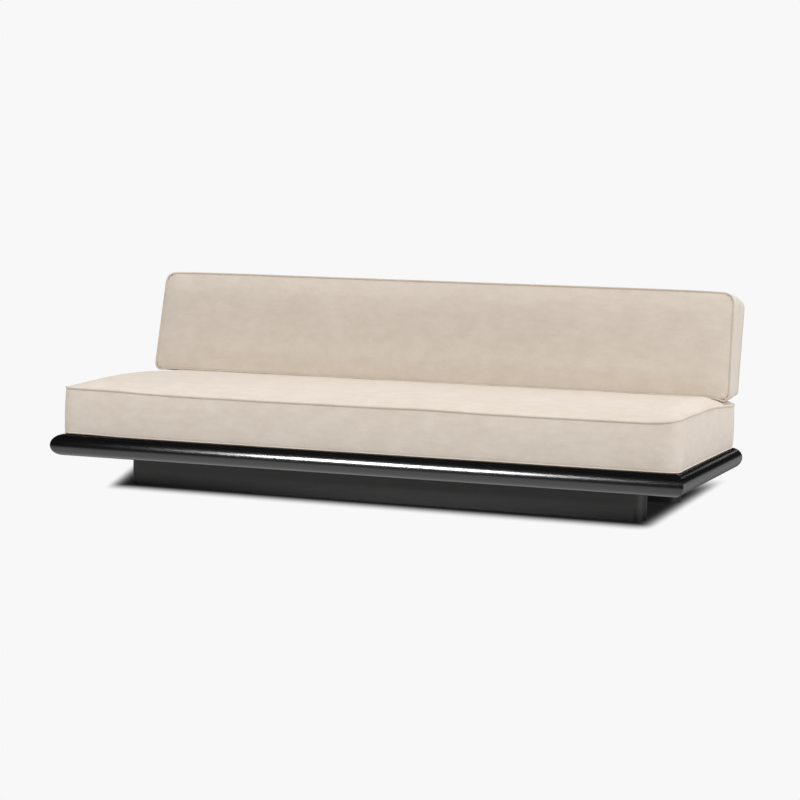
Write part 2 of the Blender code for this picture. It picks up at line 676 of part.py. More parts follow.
def add_back(parent, fabric, foam, tape, metal):
    lean = add_empty("back_cushion", parent, (0, BACK_Y, BACK_Z), (-BACK_LEAN, 0, 0))
    place = add_empty("back_pad", lean, (0, BACK_THICK, BACK_HEIGHT / 2), (math.pi / 2, 0, 0))
    length = PLATFORM_LENGTH - 2 * BACK_SIDE_MARGIN
    pad = Pad(length, BACK_HEIGHT, BACK_CORNER, (12, 8), BACK_CROWN, (10, 4), BACK_BULGE, BACK_DRAW,
              lambda u, v: BACK_THICK)
    cover = add_object("back_cover", pad.outer_mesh(), fabric, place, smooth_angle=40)
    cut(cover, add_cutter("back_cavity", pad.inner_mesh(WALL_SIDE, WALL_FACE), place))
    core = add_object("back_core", pad.inner_mesh(WALL_SIDE + CORE_FIT, WALL_FACE + CORE_FIT), foam, place,
                      smooth_angle=40)
    add_object("back_piping_front", pad.piping_mesh(1.0, 0.0), fabric, place, smooth_angle=70)
    add_object("back_piping_rear", pad.piping_mesh(0.0, PIPING_RADIUS), fabric, place, smooth_angle=70)

    half = BRACKET_WIDTH / 2 + POCKET_CLEAR
    for number, x in enumerate(bracket_lines(), 1):
        low = (x - half, -BACK_HEIGHT / 2 - BRACKET_LEAD, BRACKET_INSET - POCKET_CLEAR)
        high = (x + half, -BACK_HEIGHT / 2 + BRACKET_REACH + POCKET_CLEAR,
                BRACKET_INSET + BRACKET_THICK + POCKET_CLEAR)
        pocket = add_cutter("back_pocket_%d" % number, box_mesh(low, high), place)
        cut(cover, pocket)
        cut(core, pocket)

    middle = -BACK_HEIGHT / 2 + BACK_ZIP_UP
    half = ZIP_HEIGHT / 2
    low = (-ZIP_LENGTH / 2 - FIT, middle - half - FIT, -BACK_THICK)
    high = (ZIP_LENGTH / 2 + FIT, middle + half + FIT, WALL_FACE + CORE_FIT)
    cut(cover, add_cutter("back_zip_slot", box_mesh(low, high), place))
    low = (-ZIP_LENGTH / 2, middle - half, FIT)
    high = (ZIP_LENGTH / 2, middle + half, FIT + ZIP_THICK)
    add_object("back_zip", box_mesh(low, high), tape, place)
    slider = add_object("back_zip_slider", slider_mesh(), metal, place)
    slider.location = ((ZIP_LENGTH - SLIDER_LENGTH) / 2, middle, 0)
    slider.rotation_euler = (math.pi / 2, 0, math.pi)
    slider.rotation_mode = 'XYZ'


def settle_origin(root):
    """Moves the whole sofa so that the origin is the middle of its footprint box, on the floor."""
    bpy.context.view_layer.update()
    graph = bpy.context.evaluated_depsgraph_get()
    points = []
    for item in bpy.context.scene.objects:
        if item.type != 'MESH' or item.hide_render:
            continue
        mesh = item.evaluated_get(graph).to_mesh()
        points.extend(item.matrix_world @ v.co for v in mesh.vertices)
    low = [min(p[i] for p in points) for i in range(3)]
    high = [max(p[i] for p in points) for i in range(3)]
    root.location = (-(low[0] + high[0]) / 2, -(low[1] + high[1]) / 2, -low[2])


def main():
    for item in list(bpy.data.objects):
        bpy.data.objects.remove(item, do_unlink=True)
    lacquer = make_material("black_lacquer", (0.012, 0.012, 0.013), 0.28)
    timber = make_material("pine", (0.52, 0.36, 0.20), 0.6)
    ply = make_material("birch_plywood", (0.62, 0.46, 0.29), 0.6)
    nylon = make_material("black_nylon", (0.02, 0.02, 0.02), 0.5)
    steel = make_material("zinc_steel", (0.55, 0.56, 0.57), 0.35, 1.0)
    coated = make_material("black_coated_steel", (0.018, 0.018, 0.019), 0.45, 0.3)
    fabric = make_material("oatmeal_velvet", (0.62, 0.54, 0.46), 0.9)
    foam = make_material("foam", (0.78, 0.72, 0.55), 0.95)
    tape = make_material("zip_tape", (0.42, 0.36, 0.30), 0.8)
    metal = make_material("zip_slider_metal", (0.50, 0.46, 0.40), 0.35, 1.0)

    root = add_empty("sofa")
    rails, cross = add_platform(root, lacquer, timber, ply)
    add_plinth(root, lacquer, timber, nylon, steel, cross)
    add_brackets(root, coated, steel, rails["rear"])
    add_seat(root, fabric, foam, tape, metal)
    add_back(root, fabric, foam, tape, metal)
    settle_origin(root)


if __name__ == "__main__":
    main()
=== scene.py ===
"""Looks of a low three-seater platform sofa, laid out as a Blender add-on.

A long seat cushion and a leaning back cushion in pale brushed velvet, both with self-piping, on a black
lacquered platform with a half-round edge and a recessed plinth. Metres, +Z up, the front towards -Y.
"""
import json
import math
from collections import namedtuple

import bmesh
import bpy
from mathutils import Matrix, Vector, noise


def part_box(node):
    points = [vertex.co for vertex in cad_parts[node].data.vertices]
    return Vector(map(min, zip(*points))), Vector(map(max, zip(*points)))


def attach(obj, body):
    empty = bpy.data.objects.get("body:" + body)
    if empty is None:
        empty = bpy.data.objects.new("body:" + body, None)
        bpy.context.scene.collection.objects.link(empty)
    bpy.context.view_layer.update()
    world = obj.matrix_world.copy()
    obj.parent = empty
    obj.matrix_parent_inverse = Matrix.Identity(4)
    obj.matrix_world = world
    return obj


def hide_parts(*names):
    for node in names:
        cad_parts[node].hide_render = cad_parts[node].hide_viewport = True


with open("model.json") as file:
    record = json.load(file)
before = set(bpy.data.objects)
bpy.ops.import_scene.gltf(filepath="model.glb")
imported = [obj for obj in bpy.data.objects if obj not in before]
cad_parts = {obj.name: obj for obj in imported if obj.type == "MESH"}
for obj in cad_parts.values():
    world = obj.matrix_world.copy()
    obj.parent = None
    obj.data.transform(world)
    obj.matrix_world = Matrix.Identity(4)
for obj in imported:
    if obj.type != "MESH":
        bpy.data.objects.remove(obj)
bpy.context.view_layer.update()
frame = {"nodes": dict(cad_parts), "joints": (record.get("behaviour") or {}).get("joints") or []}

bl_info = {
    "name": "Platform Sofa Looks",
    "version": (1, 0, 0),
    "blender": (4, 5, 0),
    "location": "View3D > Sidebar > Sofa",
    "description": "Dresses the packed platform sofa: cushions, piping, lacquer and a plain studio",
    "category": "Object",
}

# Levels and lines that come from the frame
PLATFORM_LOW, PLATFORM_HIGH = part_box("front_rail")
PLATFORM_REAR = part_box("rear_rail")[1].y
SEAT_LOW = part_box("seat_cover")[0].z
SEAT_MIDDLE = (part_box("seat_core")[0].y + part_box("seat_core")[1].y) / 2
BACK_AXIS = next(Vector(j["axis"]) for j in frame["joints"] if j["name"] == "back_lift")
BACK_LEAN = math.atan2(BACK_AXIS.y, BACK_AXIS.z)

# Lower front edge of the back cushion, where it stands on the seat
BACK_FOOT = Vector((0.0, 0.258483, 0.41152))
# The back cushion was set down a touch askew, its left end higher, in radians
BACK_ASKEW = 0.0018

# Both pads
NET_PITCH = 0.020           # spacing of a pad's net
FILLING_PRESSURE = 3.0      # air pressure in the simulation, in its own unit
ON_LEVEL = 1e-5             # a point this near a level lies on it
ON_SEAM = 0.95              # a seam value above this marks the seam's own points
RIPPLE_HEIGHT = 0.0012      # soft unevenness of the covers

# Seat cushion: small departures from a true box
SEAT_END_DRAW = 0.003       # ends drawn in between the corners
SEAT_FACE_DRAW = 0.004      # upper front and rear seams drawn in at the middle
SEAT_EAR_FALL = 0.021       # fall of the right end's seam towards the rear
SEAT_LEFT_LIFT = 0.001      # rise of the left end's seam in front
SEAT_SEAM_BUMP = 0.003      # rise of the front seam right of the middle
SEAT_SEAM_RISE = 0.0075     # rise of the front seam towards the left end
SEAT_TOE = 0.008            # lower front seam put forward, before the tuck
SEAT_TUCK = 0.003           # lower seam drawn in all round
SEAT_HEEL = 0.0035          # lower seam off the platform at the left front
SEAT_SWELL_END = 0.10       # from an end's seam to the full crown
SEAT_SWELL_FRONT = 0.38
SEAT_SWELL_REAR = 0.08
SEAT_END_FULLER = 0.045     # shorter way to the crown beside the back cushion, at the right end
SEAT_LEFT_TO_PUFF = 0.006   # part of the crown that the simulation adds
SEAT_TOP_ROOM = 0.007       # most that the simulation moves the top
SEAT_SIDE_ROOM = 0.004
SEAT_SIDE_FULL = 0.0045     # swelling of the front boxing
SEAT_END_FLATTER = 0.0025   # less of it at the ends
SEAT_REAR_FULL = 0.0012
SEAT_ZIP_MARGIN = 0.003     # net lines above and below the zip's tape
SEAT_ZIP_BED = 0.0014       # rear boxing inside the tape's face

# Back cushion: small departures from a true box
BACK_LOW_WIDER = 0.005      # each end, low in front
BACK_TOP_NARROWER = 0.0055
BACK_END_DRAW = 0.001
BACK_TOP_DRAW = 0.0015      # top drawn down between the ends
BACK_TOP_SINK = 0.0065      # front of the top sunk at the ends
BACK_TOP_EAR = 0.008        # rear of the top raised at the ends
BACK_PUSH_RIGHT = 0.030     # lower rear edge pushed up by the seat at the ends
BACK_PUSH_LEFT = 0.014
BACK_PUSH_REACH = 0.06      # height over which that push fades
BACK_CORNER_REACH = 0.09    # length of the drooping corners
BACK_ZIP_PANEL = 0.10       # flat part of the rear panel, round the zip
BACK_REAR_LEVEL = 0.0016    # rear panel inside the zip's tape
BACK_LEFT_TO_PUFF = 0.004   # part of the crown that the simulation adds
BACK_FACE_ROOM = 0.005      # most that the simulation moves the faces
BACK_SIDE_ROOM = 0.003
BACK_SIDE_FULL = 0.002      # swelling of the boxing
BACK_END_FULL = 0.006       # more of it high at the ends
SLIT_LENGTH = 0.265         # slits for the brackets, along the slope
SLIT_MIDDLE = 0.1025        # their middle above the lower edge
SLIT_INSET = 0.015          # their middle in front of the rear panel
SLIT_WIDTH = 0.007
SLIT_CLEAR = 0.002          # room beside a bracket, both sides together

# Platform
DECK_FIT = 0.0003           # deck panel to its ledge
MITRE_GAP = 0.0002
POST_FLAT = 0.0001          # half of the flat left between a post's two rounded corners

# A long lens about a metre above the floor: its focal length in pixels of the photograph's frame, its place
# from the sofa's middle, the platform's front edge and the floor, and its turns in radians
FRAME_PIXELS = 800
FOCAL_PIXELS = 2095.99
CAMERA_RIGHT = 2.7144
CAMERA_AHEAD = 6.8261
CAMERA_HEIGHT = 1.0512
CAMERA_YAW = 0.3546
CAMERA_PITCH = 0.0878
CAMERA_ROLL = -0.0231
SENSOR_WIDTH = 36.0

# A cord sewn along a pad's seam: the CAD node that it replaces, its radius, how deep the cover is stitched
# down behind it, how much painted shade darkens its pile, and the share of the stitching that eases off at
# the ends
Welt = namedtuple("Welt", "name seam node radius depth shade slack")


def linear(hex_colour):
    """Turns an sRGB hex colour into linear red, green and blue."""
    parts = [int(hex_colour[i:i + 2], 16) / 255 for i in (0, 2, 4)]
    return tuple(c / 12.92 if c <= 0.04045 else ((c + 0.055) / 1.055) ** 2.4 for c in parts)


def length_property(name, default, description):
    return bpy.props.FloatProperty(name=name, default=default, description=description, subtype='DISTANCE',
                                   unit='LENGTH', precision=4)


def colour_property(name, default, description):
    return bpy.props.FloatVectorProperty(name=name, default=linear(default), description=description,
                                         subtype='COLOR', size=3, min=0.0, max=1.0)


class SofaCushionSizes(bpy.types.PropertyGroup):
    """Sizes of the two cushions and their piping"""
    seat_length: length_property("Seat length", 2.348, "Seat cushion from boxing to boxing")
    seat_depth: length_property("Seat depth", 0.931, "Seat cushion from front to rear boxing")
    seat_edge: length_property("Seat edge", 0.165, "Platform to the seat's upper piping")
    seat_crown: length_property("Seat crown", 0.043, "Rise of the seat's middle above its piping")
    seat_corner: length_property("Seat corner", 0.045, "Largest radius of the seat's corners in plan")
    seat_ear: length_property("Seat ear", 0.0175, "Rise of the upper seam along the right end")
    seat_sag: length_property("Seat sag", 0.006, "Drop of the upper seam at the left rear corner")
    seat_give: length_property("Seat give", 0.008, "Drop of the seat's top towards the back cushion")
    back_length: length_property("Back length", 2.344, "Back cushion from boxing to boxing")
    back_shift: length_property("Back shift", 0.005, "Back cushion off the middle, to the right")
    back_taper: length_property("Back taper", 0.006, "Rear panel narrower than the front, at each end")
    back_height: length_property("Back height", 0.396, "Back cushion along its slope")
    back_thickness: length_property("Back thickness", 0.205, "Back cushion from front to rear piping")
    back_crown: length_property("Back crown", 0.018, "Swell of the back's front face")
    back_corner: length_property("Back corner", 0.036, "Largest radius of the back's corners")
    back_droop: length_property("Back droop", 0.019, "Drop of the back's lower right corner, twice the left")
    back_lift: length_property("Back lift", 0.010, "Lower rear edge pushed up by the seat")
    piping: length_property("Piping", 0.0045, "Radius of the seat's upper piping cord")
    back_piping: length_property("Back piping", 0.0038, "Radius of the back's piping cords")
    lower_piping: length_property("Lower piping", 0.0028, "Radius of the cord that the seat stands on")


class SofaPlatformSizes(bpy.types.PropertyGroup):
    """Sizes of the lacquered rails and posts"""
    rail_width: length_property("Rail width", 0.140, "Rail from its outer edge inwards")
    rebate_width: length_property("Rebate width", 0.020, "Ledge that the deck lies on")
    deck_thickness: length_property("Deck thickness", 0.018, "Depth of the rebate")
    post_short: length_property("Post short", 0.015, "Right posts' rounded ends set back")


class SofaColours(bpy.types.PropertyGroup):
    """Colours of the finishes"""
    velvet: colour_property("Velvet", "DED3C7", "Pale side of the pile")
    velvet_shade: colour_property("Velvet shade", "D2C6B8", "Pile brushed the other way")
    lacquer: colour_property("Lacquer", "080808", "Black lacquer of the rails")
    satin: colour_property("Satin lacquer", "3D3D3D", "Satin black of the plinth")
    pine: colour_property("Pine", "C9A878", "Bearers and braces")
    plywood: colour_property("Plywood", "D6BE98", "Deck panels")
    background: colour_property("Background", "F8F8F8", "Floor and backdrop")


def add_node(tree, kind, settings=None, links=None):
    """Adds a node. settings are its properties or its inputs' values; links feed its inputs."""
    node = tree.nodes.new(kind)
    for key, value in (settings or {}).items():
        if isinstance(key, str) and hasattr(node, key):
            setattr(node, key, value)
        else:
            node.inputs[key].default_value = value
    for key, source in (links or {}).items():
        tree.links.new(source, node.inputs[key])
    return node


def new_material(name):
    """A node material with its Principled shader and its Object coordinates."""
    material = bpy.data.materials.new(name)
    material.use_nodes = True
    tree = material.node_tree
    shader = tree.nodes["Principled BSDF"]
    place = add_node(tree, "ShaderNodeTexCoord").outputs["Object"]
    return material, tree, shader, place


def brushed_velvet(colours):
    """Polyester velvet, brushed: a matt pile in soft patches, with a pale bloom at grazing angles."""
    material, tree, shader, place = new_material("brushed_velvet")
    # Patches of pile about 90 mm across, laid by hands that brushed over it
    patches = add_node(tree, "ShaderNodeTexNoise", {"Scale": 1 / 0.090, "Detail": 3.0, "Roughness": 0.6},
                       {"Vector": place})
    # Streaks about 22 mm wide, drawn out along the sofa
    drawn = add_node(tree, "ShaderNodeMapping", {"Scale": (0.35, 1.0, 1.0)}, {"Vector": place})
    streaks = add_node(tree, "ShaderNodeTexNoise", {"Scale": 1 / 0.022, "Detail": 4.0, "Roughness": 0.65},
                       {"Vector": drawn.outputs["Vector"]})
    # The pile's own grain is under a millimetre; it is drawn at 3 mm so that it shows
    grain = add_node(tree, "ShaderNodeTexNoise", {"Scale": 1 / 0.003, "Detail": 2.0}, {"Vector": place})
    mixed = add_node(tree, "ShaderNodeMix", {"data_type": 'FLOAT', 0: 0.55},
                     {2: patches.outputs["Fac"], 3: streaks.outputs["Fac"]})
    mixed = add_node(tree, "ShaderNodeMix", {"data_type": 'FLOAT', 0: 0.27},
                     {2: mixed.outputs[0], 3: grain.outputs["Fac"]})
    ramp = add_node(tree, "ShaderNodeMapRange", {"From Min": 0.36, "From Max": 0.64, "clamp": True},
                    {"Value": mixed.outputs[0]})
    tint = add_node(tree, "ShaderNodeMix", {"data_type": 'RGBA', 6: (*colours.velvet_shade, 1),
                                            7: (*colours.velvet, 1)}, {0: ramp.outputs["Result"]})
    # Painted shade in the creases where the cover is stitched down beside the piping, faint at the lower seam
    upper = add_node(tree, "ShaderNodeAttribute", {"attribute_name": "upper_seam"})
    lower = add_node(tree, "ShaderNodeAttribute", {"attribute_name": "lower_seam"})
    faint = add_node(tree, "ShaderNodeMath", {"operation": 'MULTIPLY', 1: 0.12}, {0: lower.outputs["Fac"]})
    seam = add_node(tree, "ShaderNodeMath", {"operation": 'MAXIMUM'},
                    {0: upper.outputs["Fac"], 1: faint.outputs[0]})
    tint = add_node(tree, "ShaderNodeMix", {"data_type": 'RGBA', "blend_type": 'MULTIPLY',
                                            7: (0.66, 0.63, 0.60, 1)},
                    {0: seam.outputs[0], 6: tint.outputs[2]})
    # Painted shade set per point by the pads, on the back's front face and the seat's left end and front edge
    nap = add_node(tree, "ShaderNodeAttribute", {"attribute_name": "nap"})
    tint = add_node(tree, "ShaderNodeMix", {"data_type": 'RGBA', "blend_type": 'MULTIPLY',
                                            7: (0.87, 0.87, 0.87, 1)},
                    {0: nap.outputs["Fac"], 6: tint.outputs[2]})
    tree.links.new(tint.outputs[2], shader.inputs["Base Color"])
    rough = add_node(tree, "ShaderNodeMapRange", {"To Min": 0.82, "To Max": 0.95},
                     {"Value": grain.outputs["Fac"]})
    tree.links.new(rough.outputs["Result"], shader.inputs["Roughness"])
    lumps = add_node(tree, "ShaderNodeBump", {"Strength": 0.35, "Distance": 0.0012},
                     {"Height": streaks.outputs["Fac"]})
    pile = add_node(tree, "ShaderNodeBump", {"Strength": 0.30, "Distance": 0.0005},
                    {"Height": grain.outputs["Fac"], "Normal": lumps.outputs["Normal"]})
    tree.links.new(pile.outputs["Normal"], shader.inputs["Normal"])
    shader.inputs["Specular IOR Level"].default_value = 0.04
    shader.inputs["Sheen Weight"].default_value = 0.18
    shader.inputs["Sheen Roughness"].default_value = 0.5
    return material


def black_lacquer(name, colour, along, specular, roughness, shaded=0.0):
    """Black polyurethane lacquer, sprayed and rubbed down: a soft gloss with the timber's grain faint below.

    Below the shaded height a painted shade darkens it to black at the floor.
    """
    material, tree, shader, place = new_material(name)
    # Grain lines about 3 mm apart, drawn out 60 times as long
    stretch = [1.0, 1.0, 1.0]
    stretch[along] = 1 / 60
    drawn = add_node(tree, "ShaderNodeMapping", {"Scale": stretch}, {"Vector": place})
    lines = add_node(tree, "ShaderNodeTexNoise", {"Scale": 1 / 0.003, "Detail": 3.0, "Roughness": 0.6},
                     {"Vector": drawn.outputs["Vector"]})
    # Cloudy rubbing marks about 60 mm across
    rubbed = add_node(tree, "ShaderNodeTexNoise", {"Scale": 1 / 0.060, "Detail": 2.0}, {"Vector": place})
    rough = add_node(tree, "ShaderNodeMapRange", {"To Min": roughness - 0.03, "To Max": roughness + 0.03},
                     {"Value": rubbed.outputs["Fac"]})
    tree.links.new(rough.outputs["Result"], shader.inputs["Roughness"])
    tint = add_node(tree, "ShaderNodeMix", {"data_type": 'RGBA', 6: (*[c * 0.8 for c in colour], 1),
                                            7: (*[c * 1.2 for c in colour], 1)},
                    {0: lines.outputs["Fac"]})
    if shaded:
        # Painted shade: the colour falls to black from the shaded height down to the floor
        parts = add_node(tree, "ShaderNodeSeparateXYZ", {}, {"Vector": place})
        lit = add_node(tree, "ShaderNodeMapRange", {"From Max": shaded}, {"Value": parts.outputs["Z"]})
        tint = add_node(tree, "ShaderNodeMix", {"data_type": 'RGBA', 6: (0.0, 0.0, 0.0, 1)},
                        {0: lit.outputs["Result"], 7: tint.outputs[2]})
    tree.links.new(tint.outputs[2], shader.inputs["Base Color"])
    relief = add_node(tree, "ShaderNodeBump", {"Strength": 0.02, "Distance": 0.0003},
                      {"Height": lines.outputs["Fac"]})
    tree.links.new(relief.outputs["Normal"], shader.inputs["Normal"])
    shader.inputs["Specular IOR Level"].default_value = specular
    return material


def raw_timber(name, colour, along, line_size):
    """Planed softwood or sanded ply: straight grain lines, dull."""
    material, tree, shader, place = new_material(name)
    stretch = [1.0, 1.0, 1.0]
    stretch[along] = 1 / 40
    drawn = add_node(tree, "ShaderNodeMapping", {"Scale": stretch}, {"Vector": place})
    lines = add_node(tree, "ShaderNodeTexNoise", {"Scale": 1 / line_size, "Detail": 4.0, "Roughness": 0.7,
                                                  "Distortion": 0.4}, {"Vector": drawn.outputs["Vector"]})
    tint = add_node(tree, "ShaderNodeMix", {"data_type": 'RGBA', 6: (*[c * 0.72 for c in colour], 1),
                                            7: (*colour, 1)}, {0: lines.outputs["Fac"]})
    tree.links.new(tint.outputs[2], shader.inputs["Base Color"])
    relief = add_node(tree, "ShaderNodeBump", {"Strength": 0.2, "Distance": 0.0003},
                      {"Height": lines.outputs["Fac"]})
    tree.links.new(relief.outputs["Normal"], shader.inputs["Normal"])
    shader.inputs["Roughness"].default_value = 0.62
    return material


def speckled(name, dark, pale, grit, roughness, metallic=0.0):
    """A fine-textured finish, such as powder coat, moulded nylon or zinc: a grit in colour and relief."""
    material, tree, shader, place = new_material(name)
    grains = add_node(tree, "ShaderNodeTexNoise", {"Scale": 1 / grit, "Detail": 2.0}, {"Vector": place})
    tint = add_node(tree, "ShaderNodeMix", {"data_type": 'RGBA', 6: (*linear(dark), 1),
                                            7: (*linear(pale), 1)}, {0: grains.outputs["Fac"]})
    tree.links.new(tint.outputs[2], shader.inputs["Base Color"])
    relief = add_node(tree, "ShaderNodeBump", {"Strength": 0.2, "Distance": grit * 0.1},
                      {"Height": grains.outputs["Fac"]})
    tree.links.new(relief.outputs["Normal"], shader.inputs["Normal"])
    shader.inputs["Roughness"].default_value = roughness
    shader.inputs["Metallic"].default_value = metallic
    return material


def zip_tape(name, middle):
    """A woven tape with a nylon coil along its middle, which lies at the given height."""
    material, tree, shader, place = new_material(name)
    parts = add_node(tree, "ShaderNodeSeparateXYZ", {}, {"Vector": place})
    weave = add_node(tree, "ShaderNodeTexNoise", {"Scale": 1 / 0.0015, "Detail": 2.0}, {"Vector": place})
    tape = add_node(tree, "ShaderNodeMix", {"data_type": 'RGBA', 6: (*linear("A39686"), 1),
                                            7: (*linear("B5A898"), 1)}, {0: weave.outputs["Fac"]})
    # The coil is 5 mm wide and turns every 2.5 mm
    off = add_node(tree, "ShaderNodeMath", {"operation": 'SUBTRACT', 1: middle}, {0: parts.outputs["Z"]})
    off = add_node(tree, "ShaderNodeMath", {"operation": 'ABSOLUTE'}, {0: off.outputs[0]})
    band = add_node(tree, "ShaderNodeMapRange", {"From Min": 0.0022, "From Max": 0.0028, "To Min": 1.0,
                                                 "To Max": 0.0}, {"Value": off.outputs[0]})
    turns = add_node(tree, "ShaderNodeMath", {"operation": 'MULTIPLY', 1: 2 * math.pi / 0.0025},
                     {0: parts.outputs["X"]})
    turns = add_node(tree, "ShaderNodeMath", {"operation": 'SINE'}, {0: turns.outputs[0]})
    turns = add_node(tree, "ShaderNodeMapRange", {"From Min": -1.0, "From Max": 1.0},
                     {"Value": turns.outputs[0]})
    coil = add_node(tree, "ShaderNodeMix", {"data_type": 'RGBA', 6: (*linear("5E554B"), 1),
                                            7: (*linear("978B7C"), 1)}, {0: turns.outputs["Result"]})
    tint = add_node(tree, "ShaderNodeMix", {"data_type": 'RGBA'},
                    {0: band.outputs["Result"], 6: tape.outputs[2], 7: coil.outputs[2]})
    tree.links.new(tint.outputs[2], shader.inputs["Base Color"])
    ridge = add_node(tree, "ShaderNodeMath", {"operation": 'MULTIPLY'},
                     {0: band.outputs["Result"], 1: turns.outputs["Result"]})
    relief = add_node(tree, "ShaderNodeBump", {"Strength": 0.5, "Distance": 0.0008},
                      {"Height": ridge.outputs[0]})
    tree.links.new(relief.outputs["Normal"], shader.inputs["Normal"])
    shader.inputs["Roughness"].default_value = 0.7
    return material


def link_piece(name, bm, material, smooth_angle=35.0):
    """Makes a bmesh an object at the origin."""
    mesh = bpy.data.meshes.new(name)
    bm.to_mesh(mesh)
    bm.free()
    mesh.shade_smooth()
    mesh.set_sharp_from_angle(angle=math.radians(smooth_angle))
    mesh.materials.append(material)
    piece = bpy.data.objects.new(name, mesh)
    bpy.context.scene.collection.objects.link(piece)
    return piece


def slice_across(bm, axis, place):
    """Cuts the whole mesh at one place along an axis, keeping both sides."""
    point, normal = Vector(), Vector()
    point[axis] = place
    normal[axis] = 1.0
    bmesh.ops.bisect_plane(bm, geom=bm.verts[:] + bm.edges[:] + bm.faces[:], dist=0.0002, plane_co=point,
                           plane_no=normal)


def pad_slab(length, width, height, corner, pitch, levels, cuts=()):
    """A slab with rounded corners, cut into an even net and at extra places across its width.

    Its rims are marked as the upper and lower seam; the velvet paints shade beside these marks.
    """
    bm = bmesh.new()
    bmesh.ops.create_cube(bm, size=1.0)
    bmesh.ops.scale(bm, vec=(length, width, height), verts=bm.verts)
    bmesh.ops.translate(bm, vec=(0, 0, height / 2), verts=bm.verts)
    upright = [e for e in bm.edges if abs(e.verts[0].co.z - e.verts[1].co.z) > height / 2]
    bmesh.ops.bevel(bm, geom=upright, offset=corner, offset_type='OFFSET', segments=3, profile=0.5,
                    affect='EDGES', material=-1)
    for axis, size in ((0, length), (1, width)):
        flat = size / 2 - corner
        count = round(2 * flat / pitch)
        places = [flat * (2 * i / count - 1) for i in range(count + 1)]
        for share in (0.5, math.sqrt(0.75)):
            places += [flat + corner * share, -flat - corner * share]
        for place in places:
            slice_across(bm, axis, place)
    for place in cuts:
        slice_across(bm, 1, place)
    for level in levels:
        slice_across(bm, 2, level)
    bm.normal_update()
    upper = bm.verts.layers.float.new("upper_seam")
    lower = bm.verts.layers.float.new("lower_seam")
    crease = bm.edges.layers.float.new("crease_edge")
    for edge in bm.edges:
        tilt = [abs(face.normal.z) for face in edge.link_faces]
        if max(tilt) > 0.9 and min(tilt) < 0.1:
            edge[crease] = 0.85
            for vert in edge.verts:
                vert[upper if vert.co.z > height / 2 else lower] = 1.0
    return bm


def square_off(vert, half_x, half_y, corner, power):
    """Squares a rounded corner: a power of 2 leaves its arc, a higher one fills it out."""
    a = (abs(vert.co.x) - half_x) / corner + 1
    b = (abs(vert.co.y) - half_y) / corner + 1
    if a > 0 and b > 0:
        factor = math.hypot(a, b) / (a ** power + b ** power) ** (1 / power)
        vert.co.x = math.copysign(half_x + (a * factor - 1) * corner, vert.co.x)
        vert.co.y = math.copysign(half_y + (b * factor - 1) * corner, vert.co.y)


def clamp(value):
    """Keeps a value from 0 to 1."""
    return max(0.0, min(1.0, value))


def swell(inside, reach):
    """Rise of a filled panel at a distance inside its seam: a quarter ellipse, level from reach on."""
    t = clamp(inside / reach)
    return math.sqrt(1 - (1 - t) ** 2)


def ease(value, low, high):
    """0 below low, 1 above high, and a smooth step between."""
    t = clamp((value - low) / (high - low))
    return t * t * (3 - 2 * t)


def boxing_swell(rise):
    """Swelling of a boxing between its two seams: a half circle over its height."""
    return math.sqrt(max(0.0, 1 - (2 * rise - 1) ** 2))


def rear_push(sizes, x):
    """How far the seat pushes the back's lower rear edge up: most at the ends, and more at the right one."""
    end = min(1.0, abs(x) / (sizes.back_length / 2))
    return sizes.back_lift + (BACK_PUSH_RIGHT if x > 0 else BACK_PUSH_LEFT) * end ** 8


def corner_droop(sizes, x):
    """How far a lower corner of the back hangs down: the right one twice as far as the left."""
    return sizes.back_droop if x > 0 else sizes.back_droop / 2


def away_from_middle(point, half_x, half_y, corner):
    """Direction out of a pad's side, level."""
    inner_x = max(-half_x + corner, min(half_x - corner, point.x))
    inner_y = max(-half_y + corner, min(half_y - corner, point.y))
    out = Vector((point.x - inner_x, point.y - inner_y, 0))
    return out.normalized() if out.length > 0 else out


def puff(piece, room, pressure, frames=20):
    """Blows a pad up by cloth simulation and keeps the swollen shape.

    room says how far each point may move; a point with none is held.
    """
    start = [v.co.copy() for v in piece.data.vertices]
    group = piece.vertex_groups.new(name="held")
    group.add([i for i, reach in enumerate(room) if reach == 0], 1.0, 'REPLACE')
    cloth = piece.modifiers.new("puff", 'CLOTH')
    settings = cloth.settings
    settings.quality = 6
    settings.mass = 0.3
    settings.tension_stiffness = 18
    settings.compression_stiffness = 18
    settings.shear_stiffness = 8
    settings.bending_stiffness = 2.0
    settings.air_damping = 3.0
    settings.use_pressure = True
    settings.uniform_pressure_force = pressure
    settings.vertex_group_mass = group.name
    settings.effector_weights.gravity = 0.0
    cloth.collision_settings.use_collision = False
    cloth.point_cache.frame_start = 1
    cloth.point_cache.frame_end = frames
    scene = bpy.context.scene
    for number in range(1, frames + 1):
        scene.frame_set(number)
    graph = bpy.context.evaluated_depsgraph_get()
    swollen = [v.co.copy() for v in piece.evaluated_get(graph).data.vertices]
    piece.modifiers.remove(cloth)
    piece.vertex_groups.remove(group)
    scene.frame_set(1)
    for vert, before, after, reach in zip(piece.data.vertices, start, swollen, room):
        move = after - before
        if move.length > reach:
            move *= reach / move.length
        vert.co = before + move


def ripple(point, size, seed):
    """Soft noise from -1 to 1, with bumps of about the given size."""
    return noise.noise(point / size + Vector((seed, 0.37 * seed, 1.7 * seed)))


def refine(piece):
    """Subdivides a pad once and applies it, keeping its seams firm."""
    net = piece.modifiers.new("net", 'SUBSURF')
    net.levels = 1
    net.render_levels = 1
    net.boundary_smooth = 'PRESERVE_CORNERS'
    apply_modifiers(piece)


def apply_modifiers(piece):
    """Keeps a pad's evaluated mesh and drops its modifiers."""
    graph = bpy.context.evaluated_depsgraph_get()
    mesh = bpy.data.meshes.new_from_object(piece.evaluated_get(graph))
    piece.modifiers.clear()
    old = piece.data
    name = old.name
    piece.data = mesh
    bpy.data.meshes.remove(old)
    mesh.name = name
    mesh.shade_smooth()


